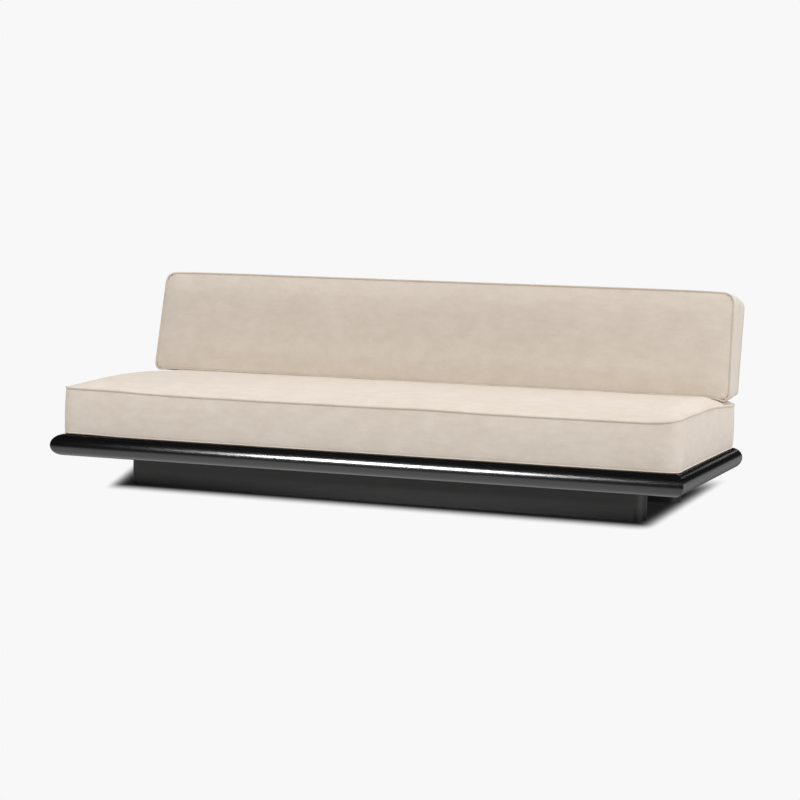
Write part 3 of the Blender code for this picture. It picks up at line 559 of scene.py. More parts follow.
def cut_slits(piece, boxes):
    """Cuts boxes out of a pad; each is a unit cube under a matrix."""
    for box in boxes:
        bm = bmesh.new()
        bmesh.ops.create_cube(bm, size=1.0, matrix=box)
        cutter = link_piece("slit_cutter", bm, piece.data.materials[0])
        cut = piece.modifiers.new("slit", 'BOOLEAN')
        cut.operation = 'DIFFERENCE'
        cut.solver = 'EXACT'
        cut.object = cutter
        apply_modifiers(piece)
        piece.data.set_sharp_from_angle(angle=math.radians(60))
        solid = cutter.data
        bpy.data.objects.remove(cutter, do_unlink=True)
        bpy.data.meshes.remove(solid)


def seam_line(piece, seam):
    """Points of a pad's seam, in order round the pad."""
    values = [item.value for item in piece.data.attributes[seam].data]
    ways = {}
    for edge in piece.data.edges:
        a, b = edge.vertices
        if values[a] > ON_SEAM and values[b] > ON_SEAM:
            ways.setdefault(a, []).append(b)
            ways.setdefault(b, []).append(a)
    first = min(ways)
    line = [first]
    last, here = None, first
    while True:
        ahead = [k for k in ways[here] if k != last]
        last, here = here, ahead[0]
        if here == first:
            return [piece.data.vertices[i].co.copy() for i in line]
        line.append(here)


def add_piping(name, points, radius, material, shade):
    """A covered cord along a closed line of points, its pile darkened by painted shade as beside a seam."""
    curve = bpy.data.curves.new(name, 'CURVE')
    curve.dimensions = '3D'
    curve.bevel_depth = radius
    curve.bevel_resolution = 3
    spline = curve.splines.new('POLY')
    spline.points.add(len(points) - 1)
    for place, point in zip(spline.points, points):
        place.co = (*point, 1.0)
    spline.use_cyclic_u = True
    shape = bpy.data.objects.new(name + "_path", curve)
    bpy.context.scene.collection.objects.link(shape)
    graph = bpy.context.evaluated_depsgraph_get()
    mesh = bpy.data.meshes.new_from_object(shape.evaluated_get(graph))
    bpy.data.objects.remove(shape, do_unlink=True)
    bpy.data.curves.remove(curve)
    mesh.name = name
    mesh.materials.clear()
    mesh.materials.append(material)
    mesh.shade_smooth()
    # Painted shade on the cord's pile, read by the velvet like the shade beside a seam
    pressed = mesh.attributes.new("upper_seam", 'FLOAT', 'POINT')
    pressed.data.foreach_set("value", [shade] * len(mesh.vertices))
    piece = bpy.data.objects.new(name, mesh)
    bpy.context.scene.collection.objects.link(piece)
    return piece


def finish_materials():
    """The finishes, made once and shared by all pieces."""
    store = bpy.context.scene.sofa_colours
    names = bpy.data.materials
    if "brushed_velvet" in names:
        return names
    brushed_velvet(store)
    black_lacquer("black_lacquer_lengthwise", store.lacquer, along=0, specular=0.75, roughness=0.22)
    black_lacquer("black_lacquer_crosswise", store.lacquer, along=1, specular=0.75, roughness=0.22)
    black_lacquer("satin_black_lacquer", store.satin, along=0, specular=0.3, roughness=0.40)
    # The front of the plinth takes painted shade in its lowest 55 mm
    black_lacquer("satin_black_lacquer_front", store.satin, along=0, specular=0.3, roughness=0.40,
                  shaded=0.055)
    raw_timber("planed_pine", store.pine, along=1, line_size=0.004)
    raw_timber("sanded_birch_ply", store.plywood, along=0, line_size=0.006)
    speckled("black_powder_coat", "131313", "1C1C1D", grit=0.0015, roughness=0.5)
    speckled("moulded_black_nylon", "0F0F10", "1A1A1B", grit=0.002, roughness=0.45)
    speckled("zinc_plated_steel", "9A9B9C", "B9BABA", grit=0.003, roughness=0.35, metallic=1.0)
    for node in ("seat_zip", "back_zip"):
        low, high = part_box(node)
        zip_tape(node + "_tape", (low.z + high.z) / 2)
    speckled("dull_nickel", "A8A29A", "BBB5AC", grit=0.002, roughness=0.32, metallic=1.0)
    return names


def dress(node, material):
    """Gives a CAD node its finish."""
    mesh = frame["nodes"][node].data
    mesh.materials.clear()
    mesh.materials.append(material)


def upholster(piece, body, matrix, replaced, welts, velvet, slits=()):
    """Turns a finished pad into its place, adds its piping and ties all to the frame."""
    piece.data.transform(matrix)
    piece.data.update()
    normals = [v.normal.copy() for v in piece.data.vertices]
    end = max(v.co.x for v in piece.data.vertices)
    for welt in welts:
        cord = add_piping(welt.name, seam_line(piece, welt.seam), welt.radius, velvet, welt.shade)
        # A cord that the cushion stands on is pressed flat below
        for vert in cord.data.vertices:
            vert.co.z = max(vert.co.z, SEAT_LOW)
        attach(cord, body)
        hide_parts(welt.node)
        # The cover is stitched down behind the cord, and the painted shade by the seam eases with the
        # stitching
        for item, vert, normal in zip(piece.data.attributes[welt.seam].data, piece.data.vertices, normals):
            firm = 1 - welt.slack * ease(abs(vert.co.x), end - 0.05, end - 0.01)
            if item.value > ON_SEAM:
                vert.co -= normal * welt.depth * firm
            item.value *= firm
    cut_slits(piece, slits)
    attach(piece, body)
    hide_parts(*replaced)
    # The cushion doesn't show in the lacquer, which stays black up to it
    piece.visible_glossy = False


class SOFA_OT_seat_cushion(bpy.types.Operator):
    """Makes the long seat cushion with its piping"""
    bl_idname = "sofa.seat_cushion"
    bl_label = "Seat Cushion"

    def execute(self, context):
        sizes = context.scene.sofa_cushions
        velvet = finish_materials()["brushed_velvet"]
        edge = sizes.seat_edge
        zip_low, zip_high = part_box("seat_zip")
        # Net lines near the seams, along the zip and where the back cushion stands
        levels = (0.010, 0.030, zip_low.z - SEAT_LOW - SEAT_ZIP_MARGIN,
                  zip_high.z - SEAT_LOW + SEAT_ZIP_MARGIN, edge - 0.045, edge - 0.022, edge - 0.009)
        foot = BACK_FOOT.y - SEAT_MIDDLE
        bm = pad_slab(sizes.seat_length, sizes.seat_depth, edge, sizes.seat_corner, NET_PITCH, levels,
                      (foot - 0.007, foot, foot + 0.008))
        room = self.shape(bm, sizes)
        piece = link_piece("seat_cushion", bm, velvet, 180)
        puff(piece, room, FILLING_PRESSURE)
        self.press(piece, sizes)
        refine(piece)
        place = Matrix.Translation((0, SEAT_MIDDLE, SEAT_LOW))
        upholster(piece, "seat", place, ("seat_cover", "seat_core"),
                  (Welt("seat_welt_upper", "upper_seam", "seat_piping_top", sizes.piping,
                        depth=0.004, shade=0.0, slack=0.8),
                   Welt("seat_welt_lower", "lower_seam", "seat_piping_bottom", sizes.lower_piping,
                        depth=0.0015, shade=0.0, slack=0.8)),
                  velvet)
        return {'FINISHED'}

    def shape(self, bm, sizes):
        """Moves the slab's points to the sewn shape and returns how far each may swell from there."""
        upper = bm.verts.layers.float["upper_seam"]
        lower = bm.verts.layers.float["lower_seam"]
        nap = bm.verts.layers.float.new("nap")
        half_x, half_y = sizes.seat_length / 2, sizes.seat_depth / 2
        edge, corner = sizes.seat_edge, sizes.seat_corner
        zip_low, zip_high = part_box("seat_zip")
        room = []
        for vert in bm.verts:
            x, y, z = vert.co
            rise = z / edge
            rear = (y / half_y + 1) / 2
            end = min(1.0, abs(x) / half_x)
            side = min(1.0, abs(y) / half_y)
            # Round upper corners in front, squarer ones below and behind
            square_off(vert, half_x, half_y, corner, 2.3 + 2.5 * (1 - rise) + 4 * rear)
            out = away_from_middle(vert.co, half_x, half_y, corner)
            vert.co.x -= math.copysign(SEAT_END_DRAW * (1 - side ** 4) * end ** 2, x)
            vert.co.y -= math.copysign(SEAT_FACE_DRAW * rise * (1 - end ** 4) * side ** 2, y)
            # The right end's seam rides up as far as the back cushion; the left one sinks towards the rear
            if x > 0:
                lift = end ** 24 * (sizes.seat_ear - SEAT_EAR_FALL * ease(rear, 0.5, 1.0))
            else:
                lift = end ** 10 * (SEAT_LEFT_LIFT * (1 - rear) ** 2 - sizes.seat_sag * rear ** 3)
            # The front seam isn't quite straight
            uneven = SEAT_SEAM_BUMP * math.exp(-((x - 0.26) / 0.17) ** 2)
            uneven += SEAT_SEAM_RISE * ease(-x, 0.70, 1.05)
            vert.co.z += rise * (lift + uneven * max(0.0, 1 - 8 * rear))
            if vert[upper] > 0.5:
                room.append(0.0)
            elif vert[lower] > 0.5:
                # Forward in front, to where the rail's edge begins to round, and drawn in elsewhere
                vert.co += out * (SEAT_TOE * max(0.0, -out.y) ** 2 - SEAT_TUCK)
                heel = SEAT_HEEL * ease(-x, 0.85, 1.1) * max(0.0, 1 - 4 * rear)
                vert.co.z = sizes.lower_piping * 0.6 + heel
                room.append(0.0)
            elif z < ON_LEVEL:
                room.append(0.0)
            elif z > edge - ON_LEVEL:
                # The right end is fuller beside the back cushion, and the middle gives way to it
                fuller = SEAT_END_FULLER * ease(rear, 0.45, 0.75) if x > 0 else 0.0
                puffed = swell(half_x - abs(x), SEAT_SWELL_END - fuller)
                puffed *= swell(half_y + y, SEAT_SWELL_FRONT) * swell(half_y - y, SEAT_SWELL_REAR)
                crown = sizes.seat_crown - SEAT_LEFT_TO_PUFF - sizes.seat_give * ease(rear, 0.5, 0.82)
                vert.co.z += crown * puffed
                # Painted shade: the top darker towards the left end, mostly in front, and along the front
                # seam
                brushed = 0.45 * ease(-x, 0.2, 1.0) * (1 - 0.8 * ease(rear, 0.35, 0.7))
                vert[nap] = max(brushed, 0.2 * (1 - ease(rear, 0.03, 0.30)))
                room.append(SEAT_TOP_ROOM)
            else:
                behind = y > half_y - 1e-4
                full = SEAT_REAR_FULL if behind else SEAT_SIDE_FULL - SEAT_END_FLATTER * abs(out.x)
                vert.co += out * full * boxing_swell(rise)
                room.append(0.0 if behind else SEAT_SIDE_ROOM)
                # The rear boxing lies just inside the zip's tape
                if behind and abs(x) < zip_high.x + 0.01 and abs(z + SEAT_LOW - zip_low.z - 0.006) < 0.012:
                    vert.co.y = zip_high.y - SEAT_ZIP_BED - SEAT_MIDDLE
        return room

    def press(self, piece, sizes):
        """Presses the rear of the seat down under the back cushion and adds soft unevenness."""
        slope = math.tan(BACK_LEAN)
        foot = BACK_FOOT - Vector((0, SEAT_MIDDLE, SEAT_LOW))
        half_x = sizes.back_length / 2
        for vert in piece.data.vertices:
            p = vert.co
            if p.z < sizes.seat_edge * 0.8:
                continue
            p.z += RIPPLE_HEIGHT * ripple(Vector((p.x, p.y, 0)), 0.16, 3.1)
            if p.y > foot.y - 0.012:
                behind = clamp((p.y - foot.y) / sizes.back_thickness)
                end = clamp((abs(p.x) - half_x) / BACK_CORNER_REACH + 1)
                underside = foot.z - (p.y - foot.y) * slope + 0.8 * rear_push(sizes, p.x) * behind ** 1.5
                underside -= corner_droop(sizes, p.x) * end * end * (1 - behind) + BACK_ASKEW * p.x
                # Clear of the cord in front, close under the cover behind it
                gap = 0.0008 + sizes.back_piping * max(0.0, 1 - 8 * behind)
                p.z = min(p.z, underside - gap)


class SOFA_OT_back_cushion(bpy.types.Operator):
    """Makes the long leaning back cushion with its piping"""
    bl_idname = "sofa.back_cushion"
    bl_label = "Back Cushion"

    def execute(self, context):
        sizes = context.scene.sofa_cushions
        velvet = finish_materials()["brushed_velvet"]
        half_y, thick = sizes.back_height / 2, sizes.back_thickness
        levels = (0.009, 0.022, thick * 0.3, thick * 0.5, thick * 0.7, thick - 0.022, thick - 0.009)
        bm = pad_slab(sizes.back_length, sizes.back_height, thick, sizes.back_corner, NET_PITCH, levels)
        room = self.shape(bm, sizes)
        piece = link_piece("back_cushion", bm, velvet, 180)
        puff(piece, room, FILLING_PRESSURE)
        self.settle(piece, sizes)
        refine(piece)
        lean = Matrix.Translation(BACK_FOOT) @ Matrix.Rotation(-BACK_LEAN, 4, 'X')
        stand = Matrix.Translation((sizes.back_shift, thick, half_y)) @ Matrix.Rotation(math.pi / 2, 4, 'X')
        askew = Matrix.Rotation(BACK_ASKEW, 4, 'Y')
        place = lean @ askew @ stand
        upholster(piece, "back", place, ("back_cover", "back_core"),
                  (Welt("back_welt_front", "upper_seam", "back_piping_front", sizes.back_piping,
                        depth=0.005, shade=0.4, slack=0.0),
                   Welt("back_welt_rear", "lower_seam", "back_piping_rear", sizes.back_piping,
                        depth=0.004, shade=0.2, slack=0.0)),
                  velvet, [place @ slit for slit in self.slits(sizes)])
        return {'FINISHED'}

    def shape(self, bm, sizes):
        """Moves the slab's points to the sewn shape and returns how far each may swell from there."""
        upper = bm.verts.layers.float["upper_seam"]
        lower = bm.verts.layers.float["lower_seam"]
        nap = bm.verts.layers.float.new("nap")
        half_x, half_y = sizes.back_length / 2, sizes.back_height / 2
        thick, corner = sizes.back_thickness, sizes.back_corner
        room = []
        for vert in bm.verts:
            x, y, z = vert.co
            rise = z / thick
            end = min(1.0, abs(x) / half_x)
            side = min(1.0, abs(y) / half_y)
            # Round above, square below, with a point at the lower right
            square_off(vert, half_x, half_y, corner, 2.3 if y > 0 else (12.0 if x > 0 else 4.0))
            out = away_from_middle(vert.co, half_x, half_y, corner)
            high = y / half_y
            # Wider low in front, where the cushion sits on its corners, and narrower above and behind
            wider = (BACK_LOW_WIDER * max(0.0, -high) - BACK_TOP_NARROWER * max(0.0, high)) * rise
            wider -= BACK_END_DRAW * (1 - side ** 4) + sizes.back_taper * (1 - rise)
            vert.co.x += math.copysign(end ** 2, x) * wider
            # The top sinks at the ends in front and stands up behind
            if y > 0:
                drawn = BACK_TOP_DRAW * (1 - end ** 4) * side ** 2
                vert.co.y -= drawn + BACK_TOP_SINK * end ** 10 * high * rise
                vert.co.y += BACK_TOP_EAR * end ** 8 * high * (1 - rise)
            below = y < -half_y + 1e-4
            # The seat pushes the lower rear edge up, most at the ends
            near = max(0.0, 1 - (y + half_y) / BACK_PUSH_REACH)
            vert.co.y += near * (1 - rise) ** 1.5 * rear_push(sizes, x)
            if vert[upper] > 0.5:
                room.append(0.0)
            elif vert[lower] > 0.5:
                vert.co.z = sizes.back_piping
                room.append(0.0)
            elif z < ON_LEVEL:
                # Rear panel: flat round the zip, slightly full above it
                vert.co.z = BACK_REAR_LEVEL
                room.append(0.0 if y < -half_y + BACK_ZIP_PANEL else BACK_FACE_ROOM)
            elif z > thick - ON_LEVEL:
                # The front face rises to its crown over 80 mm at the ends, 150 mm above and 70 mm below
                puffed = swell(half_x - abs(x), 0.08) * swell(half_y - abs(y), 0.15 if y > 0 else 0.07)
                vert.co.z += (sizes.back_crown - BACK_LEFT_TO_PUFF) * puffed
                # Painted shade over the front face, less high and low and towards the right end
                vert[nap] = (1 - (0.5 if y > 0 else 0.8) * high ** 2) * (1 - 0.35 * ease(x, 0.3, 1.0))
                room.append(BACK_FACE_ROOM)
            else:
                full = 0.0 if below else BACK_SIDE_FULL + BACK_END_FULL * end ** 8 * max(0.0, high)
                vert.co += out * full * boxing_swell(rise)
                room.append(0.0 if below else BACK_SIDE_ROOM)
        return room

    def slits(self, sizes):
        """Boxes round the brackets, in the pad's own directions, open at its underside."""
        boxes = []
        for node in frame["nodes"]:
            if node.startswith("back_bracket"):
                low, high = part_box(node)
                across = (low.x + high.x) / 2 - sizes.back_shift
                middle = (across, SLIT_MIDDLE - sizes.back_height / 2, SLIT_INSET)
                box = Matrix.Diagonal((high.x - low.x + SLIT_CLEAR, SLIT_LENGTH, SLIT_WIDTH, 1))
                boxes.append(Matrix.Translation(middle) @ box)
        return boxes

    def settle(self, piece, sizes):
        """Lets the lower corners down onto the seat and adds soft unevenness."""
        half_x, half_y = sizes.back_length / 2, sizes.back_height / 2
        for vert in piece.data.vertices:
            p = vert.co
            end = clamp((abs(p.x) - (half_x - BACK_CORNER_REACH)) / BACK_CORNER_REACH)
            low = clamp(-p.y / half_y)
            forward = max(0.0, p.z / sizes.back_thickness)
            p.y -= corner_droop(sizes, p.x) * end * end * low * low * forward
            if p.z > sizes.back_thickness * 0.8:
                p.z += RIPPLE_HEIGHT * ripple(Vector((p.x, p.y, 0)), 0.15, 7.7)


class SOFA_OT_platform(bpy.types.Operator):
    """Makes the mitred half-round rails and finishes the plinth"""
    bl_idname = "sofa.platform"
    bl_label = "Platform"

    def execute(self, context):
        sizes = context.scene.sofa_platform
        stock = finish_materials()
        lengthwise, crosswise = stock["black_lacquer_lengthwise"], stock["black_lacquer_crosswise"]
        low = PLATFORM_LOW
        high = Vector((PLATFORM_HIGH.x, PLATFORM_REAR, PLATFORM_HIGH.z))
        middle = (low + high) / 2
        length, depth = high.x - low.x, high.y - low.y
        rails = (("rail_front", "front_rail", length, (middle.x, low.y), 0, lengthwise),
                 ("rail_rear", "rear_rail", length, (middle.x, high.y), math.pi, lengthwise),
                 ("rail_left", "left_rail", depth, (low.x, middle.y), -math.pi / 2, crosswise),
                 ("rail_right", "right_rail", depth, (high.x, middle.y), math.pi / 2, crosswise))
        for name, node, span, spot, turn, material in rails:
            bm = self.rail(span, high.z - low.z, sizes)
            place = Matrix.Translation((*spot, low.z)) @ Matrix.Rotation(turn, 4, 'Z')
            bmesh.ops.transform(bm, matrix=place, verts=bm.verts)
            piece = link_piece(name, bm, material, 30)
            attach(piece, "base")
            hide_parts(node)
        satin, satin_front = stock["satin_black_lacquer"], stock["satin_black_lacquer_front"]
        for node in ("plinth_front", "plinth_rear", "plinth_left", "plinth_right"):
            dress(node, satin_front if node.endswith("front") else satin)
        for spot in ("front_left", "front_right", "rear_left", "rear_right"):
            low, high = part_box("plinth_post_" + spot)
            if spot.endswith("right"):
                high.x -= sizes.post_short
            bm = self.post(low, high)
            material = satin_front if spot.startswith("front") else satin
            piece = link_piece("end_post_" + spot, bm, material, 30)
            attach(piece, "base")
            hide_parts("plinth_post_" + spot)
        return {'FINISHED'}

    def post(self, low, high):
        """A plinth post whose outer end is a half round."""
        bm = bmesh.new()
        size = high - low
        bmesh.ops.create_cube(bm, size=1.0)
        bmesh.ops.scale(bm, vec=size, verts=bm.verts)
        bmesh.ops.translate(bm, vec=(low + high) / 2, verts=bm.verts)
        outer = high.x if high.x > 0 else low.x
        upright = [e for e in bm.edges if abs(e.verts[0].co.z - e.verts[1].co.z) > size.z / 2
                   and abs(e.verts[0].co.x - outer) < 1e-4]
        bmesh.ops.bevel(bm, geom=upright, offset=size.y / 2 - POST_FLAT, offset_type='OFFSET', segments=16,
                        profile=0.5, affect='EDGES', material=-1)
        return bm

    def rail(self, span, thick, sizes):
        """A rail along X: a spun half-round edge, a flat top and underside, a rebate and mitred ends."""
        bm = bmesh.new()
        radius = thick / 2
        start = bm.verts.new((-span / 2, radius, 0))
        bmesh.ops.spin(bm, geom=[start], cent=(-span / 2, radius, radius), axis=(1, 0, 0), angle=-math.pi,
                       steps=40, use_merge=False, dvec=(0, 0, 0))
        arc = sorted(bm.verts, key=lambda v: v.co.z)
        ledge = thick - sizes.deck_thickness - DECK_FIT
        inner = sizes.rail_width
        corners = [(inner - sizes.rebate_width, thick), (inner - sizes.rebate_width, ledge), (inner, ledge),
                   (inner, 0)]
        loop = arc + [bm.verts.new((-span / 2, n, z)) for n, z in corners]
        section = bm.faces.new(loop)
        grown = bmesh.ops.extrude_face_region(bm, geom=[section])
        far = [v for v in grown["geom"] if isinstance(v, bmesh.types.BMVert)]
        bmesh.ops.translate(bm, vec=(span, 0, 0), verts=far)
        for side in (-1, 1):
            cutoff = bmesh.ops.bisect_plane(bm, geom=bm.verts[:] + bm.edges[:] + bm.faces[:], dist=0.00001,
                                            plane_co=(side * (span / 2 - MITRE_GAP), 0, 0),
                                            plane_no=(side, 1, 0), clear_outer=True)
            rim = [e for e in cutoff["geom_cut"] if isinstance(e, bmesh.types.BMEdge)]
            bmesh.ops.contextual_create(bm, geom=rim)
        bmesh.ops.recalc_face_normals(bm, faces=bm.faces)
        return bm


class SOFA_OT_inner_frame(bpy.types.Operator):
    """Finishes the deck, bearers, glides, brackets and fastenings"""
    bl_idname = "sofa.inner_frame"
    bl_label = "Inner Frame"

    def execute(self, context):
        stock = finish_materials()
        finishes = (("deck_panel", "sanded_birch_ply"), ("cross_rail", "planed_pine"),
                    ("plinth_brace", "planed_pine"), ("mitre_spline", "planed_pine"),
                    ("glide", "moulded_black_nylon"), ("back_bracket", "black_powder_coat"),
                    ("bracket_screw", "zinc_plated_steel"), ("plinth_screw", "zinc_plated_steel"),
                    ("seat_zip_slider", "dull_nickel"), ("back_zip_slider", "dull_nickel"),
                    ("seat_zip", "seat_zip_tape"), ("back_zip", "back_zip_tape"))
        for node in frame["nodes"]:
            finish = next((f for start, f in finishes if node.startswith(start)), None)
            if finish is not None:
                dress(node, stock[finish])
        return {'FINISHED'}


class SOFA_OT_stage(bpy.types.Operator):
    """Makes the pale floor, the soft light and the camera"""
    bl_idname = "sofa.stage"
    bl_label = "Stage"

    def execute(self, context):
        scene = context.scene
        scene.view_settings.view_transform = 'Standard'
        self.floor(scene.sofa_colours.background)
        self.world(scene, scene.sofa_colours.background)
        rail = Vector((0.15, PLATFORM_LOW.y, 0.17))
        self.strip_lamp("strip_softbox", rail + Vector((-1.27, -3.20, 1.27)), rail,
                        size=(1.2, 1.0), power=10.3, spread=31)
        edge = Vector((PLATFORM_HIGH.x, 0.0, 0.19))
        self.strip_lamp("rear_softbox", edge + Vector((0.26, 2.92, 0.615)), edge,
                        size=(0.25, 0.15), power=0.13, spread=180)
        post = Vector((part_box("plinth_post_front_right")[1].x, PLATFORM_LOW.y + 0.25, 0.07))
        self.strip_lamp("side_softbox", post + Vector((1.84, -0.79, 0.08)), post,
                        size=(2.2, 0.3), power=10.0, spread=180)
        self.camera(scene)
        return {'FINISHED'}

    def floor(self, colour):
        """A pale floor that glows in its own colour, with the sofa's shade set by position."""
        bm = bmesh.new()
        bmesh.ops.create_grid(bm, x_segments=1, y_segments=1, size=40.0)
        material = bpy.data.materials.new("pale_floor")
        material.use_nodes = True
        tree = material.node_tree
        tree.nodes.clear()
        place = add_node(tree, "ShaderNodeTexCoord").outputs["Object"]
        parts = add_node(tree, "ShaderNodeSeparateXYZ", {}, {"Vector": place})
        # The shade of the plinth and the platform: it starts just in front of the plinth, ends with it on the
        # right, slants outwards on the left and reaches farthest behind the right end, away from the light
        left = self.shade(tree, place, (-1.0, -0.349, 0.0), dark=1.0487, bright=1.1988, power=6.0)
        right = self.shade(tree, place, (1.0, 0.0265, 0.0), dark=0.9093, bright=1.0594, power=6.0)
        front = self.shade(tree, place, (0.0158, 1.0, 0.0), dark=-0.2555, bright=-0.4403, power=0.9)
        behind = self.shade(tree, place, (-0.25, 1.0, 0.0), dark=-0.25, bright=0.925, power=8.0)
        dark = add_node(tree, "ShaderNodeMath", {"operation": 'MULTIPLY'}, {0: left, 1: right})
        for edge in (front, behind):
            dark = add_node(tree, "ShaderNodeMath", {"operation": 'MULTIPLY'}, {0: dark.outputs[0], 1: edge})
        shown = add_node(tree, "ShaderNodeMath", {"operation": 'MULTIPLY_ADD', 1: -0.987, 2: 1.0},
                         {0: dark.outputs[0]})
        # In reflections the floor is bright just in front of the sofa, and dim farther off and beside it
        across = add_node(tree, "ShaderNodeMath", {"operation": 'ABSOLUTE'}, {0: parts.outputs["X"]})
        beside = add_node(tree, "ShaderNodeMapRange",
                          {"From Min": 1.15, "From Max": 1.30, "To Min": 0.15, "To Max": 0.45},
                          {"Value": across.outputs[0]})
        rearward = add_node(tree, "ShaderNodeMapRange", {"From Min": -0.40, "From Max": -0.15},
                            {"Value": parts.outputs["Y"]})
        ahead = add_node(tree, "ShaderNodeMapRange",
                         {"From Min": -1.15, "From Max": -0.77, "To Min": 0.08, "To Max": 1.2},
                         {"Value": parts.outputs["Y"]})
        near = add_node(tree, "ShaderNodeMapRange", {"From Min": -0.27, "From Max": -0.42, "To Min": 0.05},
                        {"Value": parts.outputs["Y"]})
        ahead = add_node(tree, "ShaderNodeMath", {"operation": 'MULTIPLY'},
                         {0: ahead.outputs["Result"], 1: near.outputs["Result"]})
        mirrored = add_node(tree, "ShaderNodeMix", {"data_type": 'FLOAT'},
                            {0: rearward.outputs["Result"], 2: ahead.outputs[0],
                             3: beside.outputs["Result"]})
        path = add_node(tree, "ShaderNodeLightPath")
        level = add_node(tree, "ShaderNodeMix", {"data_type": 'FLOAT', 2: 0.72},
                         {0: path.outputs["Is Glossy Ray"], 3: mirrored.outputs[0]})
        level = add_node(tree, "ShaderNodeMix", {"data_type": 'FLOAT', 3: 1.0},
                         {0: path.outputs["Is Camera Ray"], 2: level.outputs[0]})
        strength = add_node(tree, "ShaderNodeMath", {"operation": 'MULTIPLY'},
                            {0: shown.outputs[0], 1: level.outputs[0]})
        glow = add_node(tree, "ShaderNodeEmission", {"Color": (*colour, 1)},
                        {"Strength": strength.outputs[0]})
        add_node(tree, "ShaderNodeOutputMaterial", {}, {"Surface": glow.outputs["Emission"]})
        link_piece("floor", bm, material)

    def shade(self, tree, place, direction, dark, bright, power):
        """1 where it is dark along one direction, falling to 0 where it is bright."""
        along = add_node(tree, "ShaderNodeVectorMath", {"operation": 'DOT_PRODUCT', 1: direction}, {0: place})
        ramp = add_node(tree, "ShaderNodeMapRange",
                        {"interpolation_type": 'SMOOTHSTEP', "From Min": dark, "From Max": bright},
                        {"Value": along.outputs["Value"]})
        lit = add_node(tree, "ShaderNodeMath", {"operation": 'POWER', 1: power}, {0: ramp.outputs["Result"]})
        shaded = add_node(tree, "ShaderNodeMath", {"operation": 'SUBTRACT', 0: 1.0}, {1: lit.outputs[0]})
        return shaded.outputs[0]

    def world(self, scene, colour):
        """A pale backdrop, soft light from above, and a dark room in the lacquer's reflections."""
        world = bpy.data.worlds.new("studio")
        world.use_nodes = True
        scene.world = world
        tree = world.node_tree
        tree.nodes.clear()
        path = add_node(tree, "ShaderNodeLightPath")
        around = add_node(tree, "ShaderNodeTexCoord")
        # Brightest overhead, brighter from the right and the front than from the left and behind
        dome = add_node(tree, "ShaderNodeVectorMath", {"operation": 'DOT_PRODUCT', 1: (0.52, -0.28, 1.016)},
                        {0: around.outputs["Generated"]})
        dome = add_node(tree, "ShaderNodeMath", {"operation": 'ADD', 1: 0.532}, {0: dome.outputs["Value"]})
        dome = add_node(tree, "ShaderNodeMath", {"operation": 'MAXIMUM', 1: 0.0}, {0: dome.outputs[0]})
        level = add_node(tree, "ShaderNodeMix", {"data_type": 'FLOAT', 3: 0.008},
                         {0: path.outputs["Is Glossy Ray"], 2: dome.outputs[0]})
        level = add_node(tree, "ShaderNodeMix", {"data_type": 'FLOAT', 3: 1.0},
                         {0: path.outputs["Is Camera Ray"], 2: level.outputs[0]})
        tint = add_node(tree, "ShaderNodeMix", {"data_type": 'RGBA', 6: (1.0, 1.0, 1.0, 1), 7: (*colour, 1)},
                        {0: path.outputs["Is Camera Ray"]})
        glow = add_node(tree, "ShaderNodeBackground", {},
                        {"Color": tint.outputs[2], "Strength": level.outputs[0]})
        add_node(tree, "ShaderNodeOutputWorld", {}, {"Surface": glow.outputs["Background"]})

    def strip_lamp(self, name, place, target, size, power, spread):
        """A softbox that only draws its highlight along a lacquered edge."""
        light = bpy.data.lights.new(name, 'AREA')
        light.shape = 'RECTANGLE'
        light.size, light.size_y = size
        light.spread = math.radians(spread)
        light.energy = power
        lamp = bpy.data.objects.new(name, light)
        bpy.context.scene.collection.objects.link(lamp)
        lamp.location = place
        lamp.rotation_mode = 'QUATERNION'
        lamp.rotation_quaternion = (target - place).to_track_quat('-Z', 'Y')
        lamp.visible_diffuse = False
        lamp.visible_camera = False

    def camera(self, scene):
        """A long lens about a metre above the floor, to the right of the sofa's middle."""
        yaw, pitch, roll = CAMERA_YAW, CAMERA_PITCH, CAMERA_ROLL
        ahead = Vector((-math.sin(yaw) * math.cos(pitch), math.cos(yaw) * math.cos(pitch), -math.sin(pitch)))
        right = ahead.cross(Vector((0, 0, 1))).normalized()
        down = ahead.cross(right)
        across = right * math.cos(roll) + down * math.sin(roll)
        below = down * math.cos(roll) - right * math.sin(roll)
        lens = bpy.data.cameras.new("camera")
        lens.sensor_width = SENSOR_WIDTH
        lens.lens = FOCAL_PIXELS / FRAME_PIXELS * SENSOR_WIDTH
        lens.clip_end = 200.0
        camera = bpy.data.objects.new("camera", lens)
        scene.collection.objects.link(camera)
        turn = Matrix((across, -below, -ahead)).transposed()
        spot = Vector((CAMERA_RIGHT, PLATFORM_LOW.y - CAMERA_AHEAD, CAMERA_HEIGHT))
        camera.matrix_world = Matrix.Translation(spot) @ turn.to_4x4()
        scene.camera = camera


class SOFA_PT_looks(bpy.types.Panel):
    """Lists the sofa's sizes, colours and steps"""
    bl_idname = "SOFA_PT_looks"
    bl_label = "Platform Sofa"
    bl_space_type = 'VIEW_3D'
    bl_region_type = 'UI'
    bl_category = "Sofa"

    def draw(self, context):
        for store in (context.scene.sofa_cushions, context.scene.sofa_platform, context.scene.sofa_colours):
            column = self.layout.column(align=True)
            for key in store.bl_rna.properties.keys():
                if key not in ("rna_type", "name"):
                    column.prop(store, key)
        for step in OPERATORS:
            self.layout.operator(step.bl_idname)


OPERATORS = (SOFA_OT_seat_cushion, SOFA_OT_back_cushion, SOFA_OT_platform, SOFA_OT_inner_frame, SOFA_OT_stage)
CLASSES = (SofaCushionSizes, SofaPlatformSizes, SofaColours) + OPERATORS + (SOFA_PT_looks,)


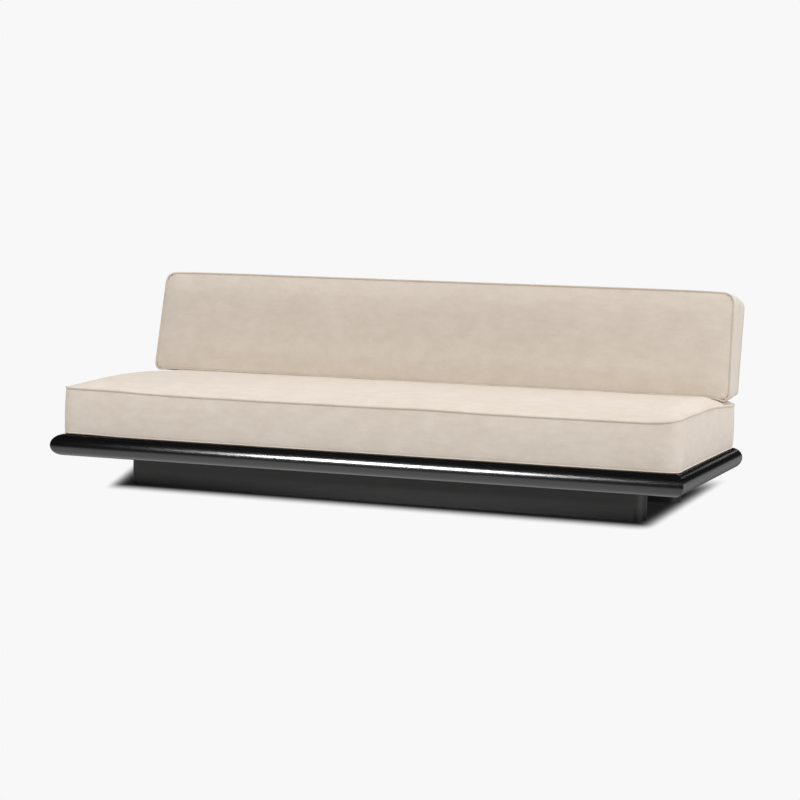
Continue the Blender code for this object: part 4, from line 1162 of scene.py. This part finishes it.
def register():
    for item in CLASSES:
        bpy.utils.register_class(item)
    bpy.types.Scene.sofa_cushions = bpy.props.PointerProperty(type=SofaCushionSizes)
    bpy.types.Scene.sofa_platform = bpy.props.PointerProperty(type=SofaPlatformSizes)
    bpy.types.Scene.sofa_colours = bpy.props.PointerProperty(type=SofaColours)


def unregister():
    del bpy.types.Scene.sofa_cushions
    del bpy.types.Scene.sofa_platform
    del bpy.types.Scene.sofa_colours
    for item in reversed(CLASSES):
        bpy.utils.unregister_class(item)


def main():
    register()
    bpy.ops.sofa.seat_cushion()
    bpy.ops.sofa.back_cushion()
    bpy.ops.sofa.platform()
    bpy.ops.sofa.inner_frame()
    bpy.ops.sofa.stage()
    bpy.context.view_layer.update()


if __name__ == "__main__":
    main()
